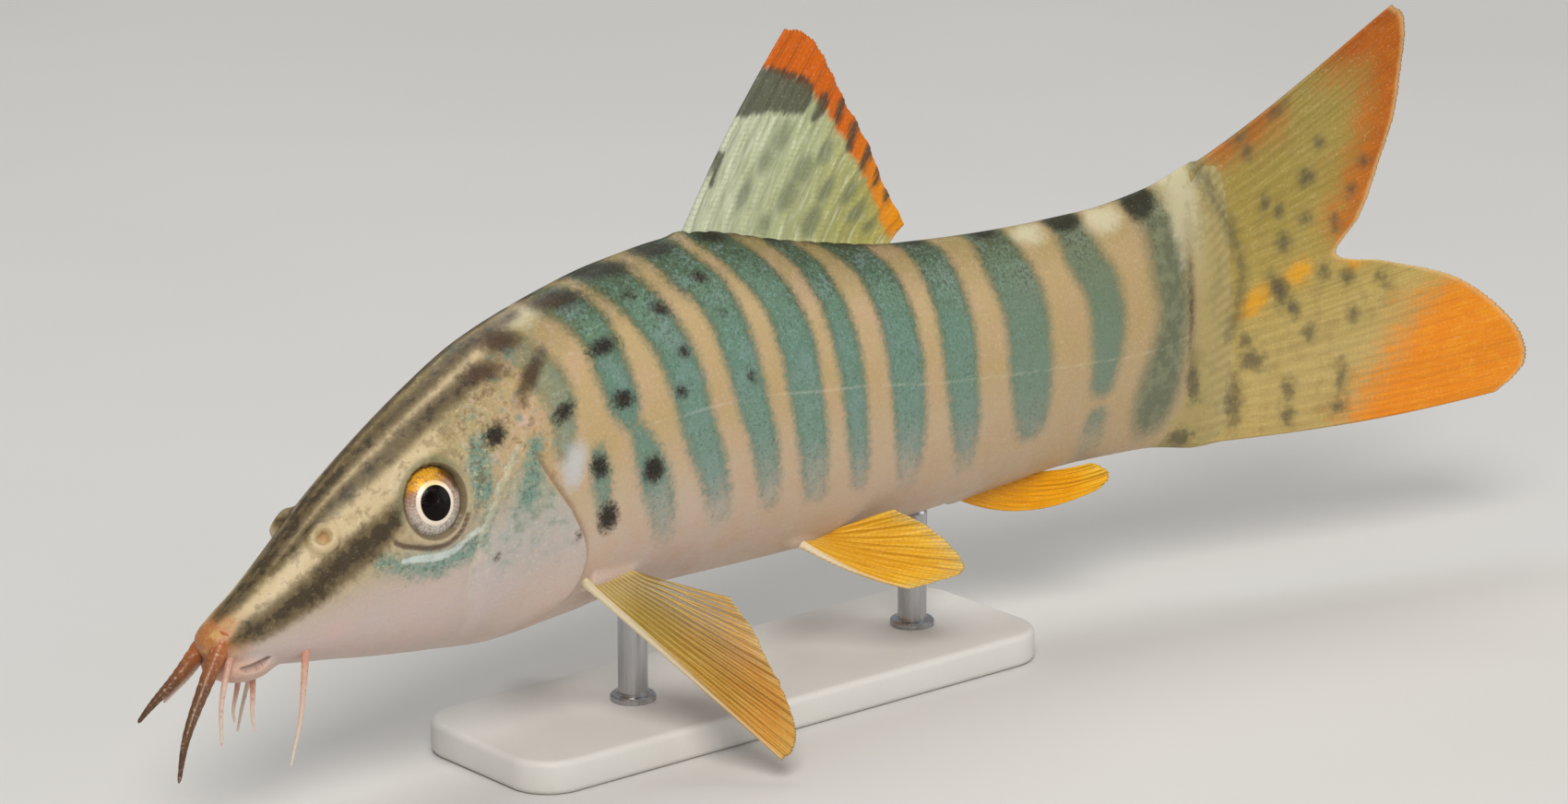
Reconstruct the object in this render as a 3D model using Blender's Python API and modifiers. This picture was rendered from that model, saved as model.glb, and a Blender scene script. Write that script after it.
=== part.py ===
"""Tiger loach, Syncrossus berdmorei, as a still, life-size display model on a two-rod stand.

Sizes are in millimetres and become metres as each mesh is made. X runs along the fish with the
head towards -X, its left side faces -Y, and Z is up. The origin is the centre of the underside of
the stand's base. The middle plane of the fish is a gently bent, upright sheet.
"""

import math

import bmesh
import bpy
from mathutils import Matrix, Vector

MM = 0.001
GAP = 0.3

# The body from snout to tail root: x, back height, belly height, half width,
# level of the widest place (0 belly, 1 back), fullness of the back, fullness of the belly
BODY = (
    (-57.6, 18.6, 17.8, 0.5, 0.50, 2.00, 2.0),
    (-57.0, 19.3, 17.2, 1.5, 0.50, 2.00, 2.0),
    (-55.5, 20.4, 16.4, 2.3, 0.48, 2.00, 2.2),
    (-53.0, 22.0, 15.7, 3.0, 0.46, 2.00, 2.3),
    (-49.5, 24.9, 15.0, 3.8, 0.44, 1.90, 2.3),
    (-45.6, 28.3, 14.4, 4.5, 0.42, 1.90, 2.3),
    (-40.8, 31.8, 13.6, 5.2, 0.42, 1.90, 2.3),
    (-34.6, 35.7, 12.8, 6.0, 0.42, 1.90, 2.3),
    (-29.5, 38.4, 12.3, 6.6, 0.42, 1.85, 2.3),
    (-21.3, 41.0, 12.9, 7.1, 0.43, 1.85, 2.3),
    (-15.0, 42.4, 13.5, 7.3, 0.45, 1.85, 2.2),
    (-6.6, 43.3, 13.4, 7.3, 0.46, 1.85, 2.2),
    (5.0, 40.9, 13.3, 7.0, 0.47, 1.85, 2.2),
    (18.5, 38.6, 13.6, 6.1, 0.48, 1.85, 2.1),
    (30.0, 38.1, 14.4, 5.0, 0.49, 1.90, 2.0),
    (39.0, 38.4, 14.9, 3.9, 0.50, 1.90, 1.9),
    (46.0, 39.5, 14.9, 2.9, 0.50, 1.80, 1.8),
    (51.5, 41.3, 14.2, 1.7, 0.50, 1.80, 1.8),
)
SNOUT_X = BODY[0][0]
TAIL_ROOT_X = BODY[-1][0]
BACK, BELLY, HALF_WIDTH, WAIST, BACK_FULLNESS, BELLY_FULLNESS = range(1, 7)

# The bend of the middle plane, seen from above: both ends swing to the fish's left
TAIL_BEND_FROM, TAIL_BEND = 15.0, 0.0021
HEAD_BEND_FROM, HEAD_BEND = -12.0, 0.0010
TAIL_TWIST_FROM, TAIL_TWIST_TO, TAIL_TWIST = 42.0, 76.0, math.tan(math.radians(9))
TAIL_AXIS_Z = 27.0

# The gill cover: where its free edge lies and how far it stands off the body behind it
GILL_X = -28.8
GILL_REACH = 6.3
GILL_TURN, GILL_SPREAD = math.radians(112), math.radians(38)
GILL_FLARE, GILL_FLARE_LENGTH = 0.55, 3.2
# The bow of the gill cover's edge dies away over these lengths ahead of it and behind it
BOW_FROM, BOW_TO = -46.0, -6.0
# The cheek's crease runs up and back from CREASE_X at CREASE_LOW to CREASE_RUN behind it, CREASE_RISE higher
CREASE_X, CREASE_LOW, CREASE_RUN, CREASE_RISE, CREASE_CURVE = -33.6, 19.0, 5.2, 11.0, 1.6
CREASE_DEPTH, CREASE_WIDTH = 0.25, 1.3
# The turns between which the head's relief stands, and how softly it begins and ends
RELIEF_FROM, RELIEF_TO, RELIEF_EDGE = 0.9, 2.75, 0.45
PEDUNCLE_X = 36.0

EYE_X, EYE_TURN = -36.9, math.radians(64.5)
EYE_RADIUS, EYE_HALF_DEPTH, EYE_SUNK = 3.15, 2.1, 1.35
LID_RING, LID_THICKNESS, LID_SUNK = 3.65, 0.55, 0.3

NOSTRIL_X, NOSTRIL_TURN = -46.8, math.radians(41)
NOSTRIL_RING, NOSTRIL_WALL, NOSTRIL_PIT = 0.8, 0.32, 0.6

UPPER_LIP = ((-49.9, 2.8, 15.6), (-52.2, 2.6, 15.9), (-54.2, 1.9, 16.3), (-55.4, 0.0, 16.5))
UPPER_LIP_RADIUS = 0.95
LOWER_LIP_CENTRE, LOWER_LIP_RADII = (-52.2, 1.15, 14.9), (2.2, 1.5, 1.1)
MOUTH_CENTRE, MOUTH_HALF_LENGTH, MOUTH_HALF_WIDTH, MOUTH_LINE = (-52.0, 15.5), 2.8, 3.8, 0.36
MOUTH_TILT = math.radians(8)

# Each barbel: x, distance from the middle plane (left negative) and z of its points, then
# its width at the root and at the tip
BARBELS = {
    "rostral_barbel_upper_left": (
        ((-55.6, -1.0, 19.2), (-58.1, -1.7, 16.1), (-60.8, -2.6, 12.4), (-62.5, -3.2, 8.7)), 1.5, 0.5),
    "rostral_barbel_upper_right": (
        ((-55.6, 0.9, 18.9), (-58.6, 1.5, 15.8), (-60.7, 2.1, 13.8), (-62.4, 2.6, 12.2)), 1.4, 0.5),
    "rostral_barbel_lower_left": (((-55.4, -1.5, 18.2), (-56.9, -2.2, 14.8), (-57.6, -2.6, 10.4)), 1.0, 0.5),
    "rostral_barbel_lower_right": (((-55.4, 1.4, 18.0), (-57.9, 1.9, 15.1), (-60.0, 2.2, 13.4)), 1.0, 0.5),
    "maxillary_barbel_left": (
        ((-48.6, -2.7, 18.0), (-49.8, -3.7, 14.2), (-50.5, -4.1, 11.0), (-51.8, -4.2, 7.6)), 1.1, 0.5),
    "maxillary_barbel_right": (
        ((-48.6, 2.7, 18.0), (-49.6, 3.7, 14.2), (-50.1, 4.2, 11.2), (-51.0, 4.5, 8.0)), 1.1, 0.5),
    "mandibular_barbel_left": (((-53.0, -0.9, 13.4), (-53.2, -1.1, 12.2), (-53.1, -1.2, 10.3)), 0.9, 0.5),
    "mandibular_barbel_right": (((-53.0, 0.9, 13.4), (-53.4, 1.1, 12.2), (-53.5, 1.3, 10.5)), 0.9, 0.5),
}
BARBEL_POINTS = 9

DORSAL_ROOT = (-6.6, 16.2)
DORSAL_TIPS = ((5.4, 59.7), (8.4, 58.6), (10.3, 55.8), (12.5, 52.1), (14.8, 47.9), (16.9, 43.6), (18.6, 40.3))
DORSAL_FORWARD, DORSAL_BOW = Vector((-0.6, 0.8)), 0.6
CAUDAL_ROOT_TOP, CAUDAL_ROOT_MIDDLE, CAUDAL_ROOT_BOTTOM = 40.9, 27.7, 14.5
CAUDAL_UPPER_TIPS = (
    (76.4, 53.0), (77.6, 52.0), (77.6, 49.4), (77.0, 46.4),
    (75.4, 42.0), (73.2, 37.6), (70.6, 33.8), (67.9, 30.6),
)
CAUDAL_LOWER_TIPS = (
    (67.9, 30.6), (72.5, 29.5), (77.0, 28.3), (81.2, 26.6),
    (84.8, 24.0), (87.2, 20.8), (87.6, 18.0), (84.3, 15.5),
)
CAUDAL_SAG = 0.6
CAUDAL_SPLIT = 0.33
ANAL_ROOT = (23.9, 32.4)
ANAL_TIPS = ((39.4, 12.8), (40.4, 13.4), (40.5, 14.2), (39.6, 14.9), (38.4, 15.4))
ANAL_LEAN = -2.6
ANAL_SAG = 2.0
PECTORAL_ROOT = ((-22.3, math.radians(127)), (-16.6, math.radians(138)))
PECTORAL_TIPS = (
    (-10.6, -18.6, 2.0), (-9.3, -18.8, 3.4), (-9.2, -18.3, 5.5), (-9.7, -17.5, 7.8),
    (-10.4, -16.6, 10.1), (-11.0, -15.2, 12.8), (-11.2, -13.2, 15.4),
)
RIGHT_PECTORAL_LIFT = 3.5
PELVIC_ROOT = ((2.4, math.radians(150)), (5.9, math.radians(158)))
PELVIC_TIPS = (
    (11.7, -9.0, 10.2), (14.9, -9.8, 10.5), (17.2, -10.2, 11.1),
    (16.6, -9.5, 13.0), (14.4, -8.4, 15.3), (11.5, -7.2, 17.2),
)
PELVIC_SAG = 0.6

# Rays, rows along each ray, thickness of a ray at its root and tip, thickness of the membrane
# at its root and tip, and how far the rays run on into the body before they are trimmed
FINS = {
    "dorsal_fin": (12, 8, 1.3, 0.7, 0.8, 0.5, 1.4),
    "caudal_fin": (10, 9, 1.6, 0.7, 1.1, 0.5, 0.0),
    "anal_fin": (8, 6, 1.3, 0.7, 0.8, 0.5, 1.4),
    "pectoral_fin": (13, 7, 1.4, 0.7, 0.9, 0.5, 1.4),
    "pelvic_fin": (9, 6, 1.3, 0.7, 0.8, 0.5, 1.4),
}
FIN_ROOT_DEPTH = 0.5
FIN_SCALLOP = 0.02

BASE_LENGTH, BASE_WIDTH, BASE_HEIGHT, BASE_CORNER, BASE_EDGE = 58.0, 18.0, 3.0, 4.0, 0.6
ROD_RADIUS, ROD_RUN_ON = 1.3, 1.5
RODS = {"stand_rod_front": -12.0, "stand_rod_rear": 20.0}


def smoothstep(value):
    """0 up to 0, 1 from 1 on, with a soft rise between."""
    value = min(max(value, 0.0), 1.0)
    return value * value * (3 - 2 * value)


def slopes_of(column):
    """Slopes of the curve through one column of the body's stations, with no overshoot."""
    rises = [(b[column] - a[column]) / (b[0] - a[0]) for a, b in zip(BODY, BODY[1:])]
    slopes = [rises[0]]
    for before, after in zip(rises, rises[1:]):
        slopes.append(2 * before * after / (before + after) if before * after > 0 else 0.0)
    return slopes + [rises[-1]]


SLOPES = {column: slopes_of(column) for column in range(1, 7)}


def along(column, x):
    """One measure of the body at x, on the smooth curve through its stations."""
    x = min(max(x, SNOUT_X), TAIL_ROOT_X)
    i = next(k for k in range(len(BODY) - 1) if x <= BODY[k + 1][0])
    a, b = BODY[i], BODY[i + 1]
    step = b[0] - a[0]
    t = (x - a[0]) / step
    slope_a, slope_b = SLOPES[column][i] * step, SLOPES[column][i + 1] * step
    rise = b[column] - a[column]
    squared, cubed = 3 * rise - 2 * slope_a - slope_b, slope_a + slope_b - 2 * rise
    return a[column] + slope_a * t + squared * t**2 + cubed * t**3


def midline(x, z=TAIL_AXIS_Z):
    """How far the fish's middle plane lies from y = 0 at this place."""
    bend = TAIL_BEND * max(0.0, x - TAIL_BEND_FROM) ** 2 + HEAD_BEND * max(0.0, HEAD_BEND_FROM - x) ** 2
    twist = TAIL_TWIST * smoothstep((x - TAIL_TWIST_FROM) / (TAIL_TWIST_TO - TAIL_TWIST_FROM))
    return -bend + twist * (z - TAIL_AXIS_Z)


def flank(x, turn, grow=0.0):
    """A point of the body's surface. Turn runs from 0 on the back by the left flank to pi on the belly."""
    back, belly, half_width, waist = (along(column, x) for column in (BACK, BELLY, HALF_WIDTH, WAIST))
    level = belly + (back - belly) * waist
    sine, cosine = math.sin(turn), math.cos(turn)
    fullness = along(BACK_FULLNESS if cosine > 0 else BELLY_FULLNESS, x)
    height = back - level if cosine > 0 else level - belly
    out = (half_width + grow) * math.copysign(abs(sine) ** (2 / fullness), sine)
    z = level + (height + grow) * math.copysign(abs(cosine) ** (2 / fullness), cosine)
    return Vector((x, midline(x, z) - out, z))


def flank_frame(x, turn):
    """The surface point at x and turn as a matrix, its Z axis pointing straight out of the body."""
    step = 0.05
    tailward = flank(x + step, turn) - flank(x - step, turn)
    downward = flank(x, turn + step) - flank(x, turn - step)
    out = downward.cross(tailward).normalized()
    if out.y * math.sin(turn) > 0:
        out = -out
    tailward = (tailward - out * tailward.dot(out)).normalized()
    up = out.cross(tailward)
    frame = Matrix((tailward, up, out)).transposed().to_4x4()
    frame.translation = flank(x, turn)
    return frame


def through(points, t):
    """A point on the smooth curve through the given points, t running from 0 to 1."""
    points = [Vector(point) for point in points]
    place = min(max(t, 0.0), 1.0) * (len(points) - 1)
    i = min(int(place), len(points) - 2)
    t = place - i
    b, c = points[i], points[i + 1]
    a = points[i - 1] if i else 2 * b - c
    d = points[i + 2] if i + 2 < len(points) else 2 * c - b
    squared, cubed = 2 * a - 5 * b + 4 * c - d, 3 * b - a - 3 * c + d
    return 0.5 * (2 * b + (c - a) * t + squared * t**2 + cubed * t**3)


def clear_scene():
    for obj in list(bpy.data.objects):
        bpy.data.objects.remove(obj, do_unlink=True)


def new_collection(name, hidden=False):
    collection = bpy.data.collections.new(name)
    bpy.context.scene.collection.children.link(collection)
    collection.hide_render = hidden
    return collection


def new_material(name, colour, roughness=0.4, metallic=0.0):
    material = bpy.data.materials.new(name)
    material.use_nodes = True
    shader = material.node_tree.nodes["Principled BSDF"]
    shader.inputs["Base Color"].default_value = (*colour, 1)
    shader.inputs["Roughness"].default_value = roughness
    shader.inputs["Metallic"].default_value = metallic
    return material


def object_from(bm, name, collection):
    """Turns a bmesh made in millimetres into an object in metres."""
    bmesh.ops.scale(bm, vec=(MM, MM, MM), verts=bm.verts)
    mesh = bpy.data.meshes.new(name)
    bm.to_mesh(mesh)
    bm.free()
    obj = bpy.data.objects.new(name, mesh)
    collection.objects.link(obj)
    return obj


def settle(obj):
    """Turns what the modifiers or the curve give into the object's own mesh."""
    graph = bpy.context.evaluated_depsgraph_get()
    mesh = bpy.data.meshes.new_from_object(obj.evaluated_get(graph))
    if obj.type == "MESH":
        obj.modifiers.clear()
        obj.vertex_groups.clear()
        obj.data = mesh
        return obj
    name, place, collection = obj.name, obj.matrix_world.copy(), obj.users_collection[0]
    bpy.data.objects.remove(obj, do_unlink=True)
    bm = bmesh.new()
    bm.from_mesh(mesh)
    bmesh.ops.remove_doubles(bm, verts=bm.verts, dist=1e-6)
    bm.to_mesh(mesh)
    bm.free()
    solid = bpy.data.objects.new(name, mesh)
    solid.matrix_world = place
    collection.objects.link(solid)
    return solid


def keep_largest(obj):
    """Leaves only the largest closed surface of a mesh."""
    bm = bmesh.new()
    bm.from_mesh(obj.data)
    waiting = set(bm.faces)
    shells = []
    while waiting:
        shell = {waiting.pop()}
        edge = list(shell)
        while edge:
            around = {f for side in edge.pop().edges for f in side.link_faces} & waiting
            waiting -= around
            shell |= around
            edge += around
        shells.append(shell)
    shells.sort(key=lambda shell: sum(face.calc_area() for face in shell))
    loose = [face for shell in shells[:-1] for face in shell]
    bmesh.ops.delete(bm, geom=loose, context="FACES")
    bm.to_mesh(obj.data)
    bm.free()


def combine(obj, operation, others):
    """Joins the other objects to this one, or cuts them out of it, and removes them."""
    helper = bpy.data.collections.new(obj.name + "_" + operation.lower())
    for other in others:
        helper.objects.link(other)
    bpy.context.scene.collection.children.link(helper)
    modifier = obj.modifiers.new(operation.lower(), "BOOLEAN")
    modifier.operation = operation
    modifier.operand_type = "COLLECTION"
    modifier.collection = helper
    settle(obj)
    for other in others:
        bpy.data.objects.remove(other, do_unlink=True)
    bpy.data.collections.remove(helper)
    keep_largest(obj)


def cut_by(obj, cutter):
    """Cuts one object by a cutter that other pieces need too."""
    modifier = obj.modifiers.new("clearance", "BOOLEAN")
    modifier.operation = "DIFFERENCE"
    modifier.object = cutter
    modifier.solver = "MANIFOLD"
    settle(obj)
    keep_largest(obj)


def gill_bow(turn):
    """How far the gill cover's edge reaches behind GILL_X at this turn, alike on both sides."""
    turn = abs((turn + math.pi) % (2 * math.pi) - math.pi)
    return GILL_REACH * math.exp(-(((turn - GILL_TURN) / GILL_SPREAD) ** 2))


def loft(name, collection, places, turns, surface):
    """A closed solid over rings of equal count, each end closed by a fan round its middle."""
    bm = bmesh.new()
    angles = [2 * math.pi * k / turns for k in range(turns)]
    rings = [[bm.verts.new(surface(place, angle)) for angle in angles] for place in places]
    for ring, after in zip(rings, rings[1:]):
        for k in range(turns):
            quad = (ring[k], ring[k - 1], after[k - 1], after[k])
            bm.faces.new(quad)
    for ring, turned in ((rings[0], False), (rings[-1], True)):
        middle = bm.verts.new(sum((vert.co for vert in ring), Vector()) / turns)
        for k in range(turns):
            corners = (middle, ring[k - 1], ring[k]) if not turned else (middle, ring[k], ring[k - 1])
            bm.faces.new(corners)
    bmesh.ops.triangulate(bm, faces=[face for face in bm.faces if len(face.verts) > 3])
    bmesh.ops.recalc_face_normals(bm, faces=bm.faces)
    return object_from(bm, name, collection)


def spread(first, last, count):
    return [first + (last - first) * k / (count - 1) for k in range(count)]


def head_relief(x, turn):
    """How far the skin stands out: the gill cover's flared edge, less the crease across the cheek."""
    side = abs((turn + math.pi) % (2 * math.pi) - math.pi)
    on_side = smoothstep((side - RELIEF_FROM) / RELIEF_EDGE) * smoothstep((RELIEF_TO - side) / RELIEF_EDGE)
    ahead = GILL_X + gill_bow(turn) - x
    flare = GILL_FLARE * math.exp(-((ahead / GILL_FLARE_LENGTH) ** 2))
    climb = max(0.0, (flank(x, side).z - CREASE_LOW) / CREASE_RISE)
    behind = x - CREASE_X - CREASE_RUN * climb**CREASE_CURVE
    crease = CREASE_DEPTH * math.exp(-((behind / CREASE_WIDTH) ** 2))
    return (flare - crease) * on_side


def make_head(collection):
    def surface(place, turn):
        share = smoothstep((place - BOW_FROM) / (GILL_X - BOW_FROM))
        x = place + share * gill_bow(turn)
        return flank(x, turn, head_relief(x, turn))

    tip = [SNOUT_X + step for step in (0.0, 0.25, 0.6, 1.2, 2.0)]
    head = loft("head", collection, tip + spread(SNOUT_X + 3.0, GILL_X, 27), 44, surface)
    lips = new_collection("lips")
    pieces = [upper_lip(lips)]
    for side in (-1, 1):
        pieces += [lower_lip(lips, side), nostril_rim(lips, side), eyelid(lips, side)]
    combine(head, "UNION", pieces)
    bpy.data.collections.remove(lips)
    cuts = new_collection("head_cuts")
    pieces = [mouth_line(cuts)]
    for side in (-1, 1):
        pieces += [eye_form("socket", cuts, side, GAP), nostril_pit(cuts, side)]
    combine(head, "DIFFERENCE", pieces)
    bpy.data.collections.remove(cuts)
    return head


def from_middle(x, out, z):
    """A point given by its distance from the fish's middle plane, the left side negative."""
    return Vector((x, midline(x, z) + out, z))


def tube(name, collection, points, radii, sides=2):
    """A round solid along points, with a radius at each."""
    curve = bpy.data.curves.new(name, "CURVE")
    curve.dimensions = "3D"
    curve.bevel_depth = MM
    curve.bevel_resolution = sides
    curve.use_fill_caps = True
    spline = curve.splines.new("POLY")
    spline.points.add(len(points) - 1)
    for knot, point, radius in zip(spline.points, points, radii):
        knot.co = (*(point * MM), 1)
        knot.radius = radius
    obj = bpy.data.objects.new(name, curve)
    collection.objects.link(obj)
    return settle(obj)


def upper_lip(collection):
    left = [from_middle(x, -out, z) for x, out, z in UPPER_LIP]
    right = [from_middle(x, out, z) for x, out, z in reversed(UPPER_LIP[:-1])]
    count = 15
    points = [through(left + right, k / (count - 1)) for k in range(count)]
    swell = [0.65 + 0.35 * math.sin(math.pi * k / (count - 1)) for k in range(count)]
    return tube("upper_lip", collection, points, [UPPER_LIP_RADIUS * share for share in swell], 3)


def ellipsoid(name, collection, radii, frame, rings=8, turns=14):
    bm = bmesh.new()
    bmesh.ops.create_uvsphere(bm, u_segments=turns, v_segments=rings, radius=1.0)
    bmesh.ops.scale(bm, vec=radii, verts=bm.verts)
    bmesh.ops.transform(bm, matrix=frame, verts=bm.verts)
    return object_from(bm, name, collection)


def lower_lip(collection, side):
    """One half of the lower lip, a soft pad beside the middle."""
    x, out, z = LOWER_LIP_CENTRE
    frame = Matrix.Translation(from_middle(x, side * out, z))
    return ellipsoid("lower_lip", collection, LOWER_LIP_RADII, frame)


def mouth_line(collection):
    """A flat disc that opens the line between the lips."""
    x, z = MOUTH_CENTRE
    frame = Matrix.Translation(from_middle(x, 0, z)) @ Matrix.Rotation(MOUTH_TILT, 4, "Y")
    bm = bmesh.new()
    bmesh.ops.create_cone(bm, cap_ends=True, segments=28, radius1=1, radius2=1, depth=MOUTH_LINE)
    bmesh.ops.scale(bm, vec=(MOUTH_HALF_LENGTH, MOUTH_HALF_WIDTH, 1), verts=bm.verts)
    bmesh.ops.transform(bm, matrix=frame, verts=bm.verts)
    return object_from(bm, "mouth_line", collection)


def nostril_frame(side):
    return flank_frame(NOSTRIL_X, -side * NOSTRIL_TURN)


def nostril_rim(collection, side):
    """A low ring round the nostril that rises to a flap at the back."""
    frame = nostril_frame(side)
    count = 12
    points = []
    for k in range(count + 1):
        angle = 2 * math.pi * (k + 0.5) / count
        rise = 0.05 + 0.4 * max(0.0, math.cos(angle)) ** 2
        local = Vector((NOSTRIL_RING * 1.2 * math.cos(angle), NOSTRIL_RING * math.sin(angle), rise))
        points.append(frame @ local)
    return tube("nostril_rim", collection, points, [NOSTRIL_WALL] * (count + 1), 1)


def nostril_pit(collection, side):
    radii = (NOSTRIL_PIT * 1.15, NOSTRIL_PIT, 0.9)
    return ellipsoid("nostril_pit", collection, radii, nostril_frame(side), 6, 10)


def eyelid(collection, side):
    """The ring of skin that stands up round the eye."""
    turns, sides = 30, 6
    bm = bmesh.new()
    frame = flank_frame(EYE_X, -side * EYE_TURN) @ Matrix.Translation((0, 0, -LID_SUNK))
    bmesh.ops.create_circle(bm, segments=sides, radius=LID_THICKNESS)
    bmesh.ops.rotate(bm, verts=bm.verts, matrix=Matrix.Rotation(math.radians(90), 3, "X"))
    bmesh.ops.translate(bm, verts=bm.verts, vec=(LID_RING, 0, 0))
    bmesh.ops.spin(
        bm, geom=bm.verts[:] + bm.edges[:], cent=(0, 0, 0), axis=(0, 0, 1), angle=2 * math.pi, steps=turns,
    )
    bmesh.ops.remove_doubles(bm, verts=bm.verts, dist=0.001)
    bmesh.ops.recalc_face_normals(bm, faces=bm.faces)
    bmesh.ops.transform(bm, matrix=frame, verts=bm.verts)
    return object_from(bm, "eyelid", collection)


def eye_form(name, collection, side, grow=0.0):
    frame = flank_frame(EYE_X, -side * EYE_TURN) @ Matrix.Translation((0, 0, -EYE_SUNK))
    radii = (EYE_RADIUS + grow, EYE_RADIUS + grow, EYE_HALF_DEPTH + grow)
    return ellipsoid(name, collection, radii, frame, 12, 24)


def make_torso(collection):
    def surface(place, turn):
        share = smoothstep((BOW_TO - place) / (BOW_TO - GILL_X))
        return flank(place + share * gill_bow(turn), turn)

    return loft("torso", collection, spread(GILL_X + GAP, PEDUNCLE_X, 27), 36, surface)


def make_peduncle(collection):
    return loft("tail_peduncle", collection, spread(PEDUNCLE_X + GAP, TAIL_ROOT_X, 9), 36, flank)


def make_clearance(collection):
    """The whole body grown by the gap. It trims whatever grows from the body to a matching face."""
    def surface(place, turn):
        return flank(place, turn, GAP)

    tip = [SNOUT_X + step for step in (-GAP, 0.3, 0.6, 1.3, 2.1)]
    places = tip + spread(SNOUT_X + 3.6, TAIL_ROOT_X + GAP, 44)
    cutter = loft("body_clearance", collection, places, 36, surface)
    cutter.display_type = "WIRE"
    cutter.hide_render = True
    return cutter


def blade(name, kind, collection, ray_point):
    """A fin: a sheet whose rays are ridges on both faces, its hem drawn in a little between them."""
    rays, rows, ray_root, ray_tip, web_root, web_tip, sunk = FINS[kind]
    columns = 2 * rays - 1
    bm = bmesh.new()
    bmesh.ops.create_grid(bm, x_segments=columns - 1, y_segments=rows - 1, size=0.5)
    weights = []
    for vert in bm.verts:
        across, down = vert.co.x + 0.5, vert.co.y + 0.5
        is_ray = round(across * (columns - 1)) % 2 == 0
        first = -sunk / (ray_point(across, 1) - ray_point(across, 0)).length
        last = 1 if is_ray else 1 - FIN_SCALLOP
        root, tip = (ray_root, ray_tip) if is_ray else (web_root, web_tip)
        weights.append((root + (tip - root) * down) / ray_root)
        vert.co = ray_point(across, first + (last - first) * down)
    bmesh.ops.triangulate(bm, faces=bm.faces)
    obj = object_from(bm, name, collection)
    group = obj.vertex_groups.new(name="thickness")
    for index, weight in enumerate(weights):
        group.add([index], weight, "REPLACE")
    wall = obj.modifiers.new("wall", "SOLIDIFY")
    wall.thickness = ray_root * MM
    wall.offset = 0
    wall.vertex_group = group.name
    return settle(obj)


def bow(reach):
    """Rises from 0 at a ray's root to 1 halfway and back to 0 at its tip."""
    return 4 * max(0.0, reach * (1 - reach))


def dorsal_ray(across, reach):
    root_x = DORSAL_ROOT[0] + (DORSAL_ROOT[1] - DORSAL_ROOT[0]) * across
    root = Vector((root_x, along(BACK, root_x) - FIN_ROOT_DEPTH))
    place = root.lerp(through(DORSAL_TIPS, across), reach)
    place += DORSAL_FORWARD * DORSAL_BOW * (1 - across) * bow(reach)
    return Vector((place.x, midline(place.x, place.y), place.y))


def caudal_ray(is_upper):
    """Rays of one lobe of the tail fin, from the top down. The lobes part at the fork's middle ray."""
    if is_upper:
        high, low, tips = CAUDAL_ROOT_TOP, CAUDAL_ROOT_MIDDLE, CAUDAL_UPPER_TIPS
    else:
        high, low, tips = CAUDAL_ROOT_MIDDLE, CAUDAL_ROOT_BOTTOM, CAUDAL_LOWER_TIPS
    apart = CAUDAL_SPLIT / 2 if is_upper else -CAUDAL_SPLIT / 2

    def ray(across, reach):
        root = Vector((TAIL_ROOT_X + GAP / 2, high + (low - high) * across))
        place = root.lerp(through(tips, across), reach)
        outer = 1 - across if is_upper else across
        place.y += apart - CAUDAL_SAG * outer * bow(reach)
        return Vector((place.x, midline(place.x, place.y), place.y))

    return ray


def anal_ray(across, reach):
    root_x = ANAL_ROOT[0] + (ANAL_ROOT[1] - ANAL_ROOT[0]) * across
    root = Vector((root_x, along(BELLY, root_x) + FIN_ROOT_DEPTH))
    place = root.lerp(through(ANAL_TIPS, across), reach)
    place.y -= ANAL_SAG * (1 - across / 2) * bow(reach)
    lean = ANAL_LEAN * max(0.0, reach) ** 1.5
    return Vector((place.x, midline(place.x) + lean, place.y))


def paired_ray(root_ends, tips, sag, side, lift=0.0):
    """Rays of a paired fin. The sizes are the left one's. Side 1 is the right one, its tips lifted."""

    def ray(across, reach):
        (first_x, first_turn), (last_x, last_turn) = root_ends
        x = first_x + (last_x - first_x) * across
        root = flank(x, first_turn + (last_turn - first_turn) * across, -FIN_ROOT_DEPTH)
        place = root.lerp(through(tips, across), reach)
        place.z -= sag * (1 - across) * bow(reach)
        if side > 0:
            place.y = 2 * midline(place.x) - place.y
            place.z += lift * max(0.0, reach)
        return place

    return ray


def make_fins(collection, cutter):
    fins = [
        blade("dorsal_fin", "dorsal_fin", collection, dorsal_ray),
        blade("caudal_fin_upper_lobe", "caudal_fin", collection, caudal_ray(True)),
        blade("caudal_fin_lower_lobe", "caudal_fin", collection, caudal_ray(False)),
        blade("anal_fin", "anal_fin", collection, anal_ray),
    ]
    for word, side in (("left", -1), ("right", 1)):
        pectoral = paired_ray(PECTORAL_ROOT, PECTORAL_TIPS, 0.0, side, RIGHT_PECTORAL_LIFT)
        pelvic = paired_ray(PELVIC_ROOT, PELVIC_TIPS, PELVIC_SAG, side)
        fins.append(blade("pectoral_fin_" + word, "pectoral_fin", collection, pectoral))
        fins.append(blade("pelvic_fin_" + word, "pelvic_fin", collection, pelvic))
    for fin in fins:
        cut_by(fin, cutter)
    return fins


def make_barbels(collection, cutter):
    barbels = []
    for name, (route, root_width, tip_width) in BARBELS.items():
        route = [from_middle(*point) for point in route]
        steps = spread(0.0, 1.0, BARBEL_POINTS)
        points = [through(route, step) for step in steps]
        radii = [(root_width + (tip_width - root_width) * step) / 2 for step in steps]
        barbel = tube(name, collection, points, radii, 1)
        cut_by(barbel, cutter)
        barbels.append(barbel)
    return barbels


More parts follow.
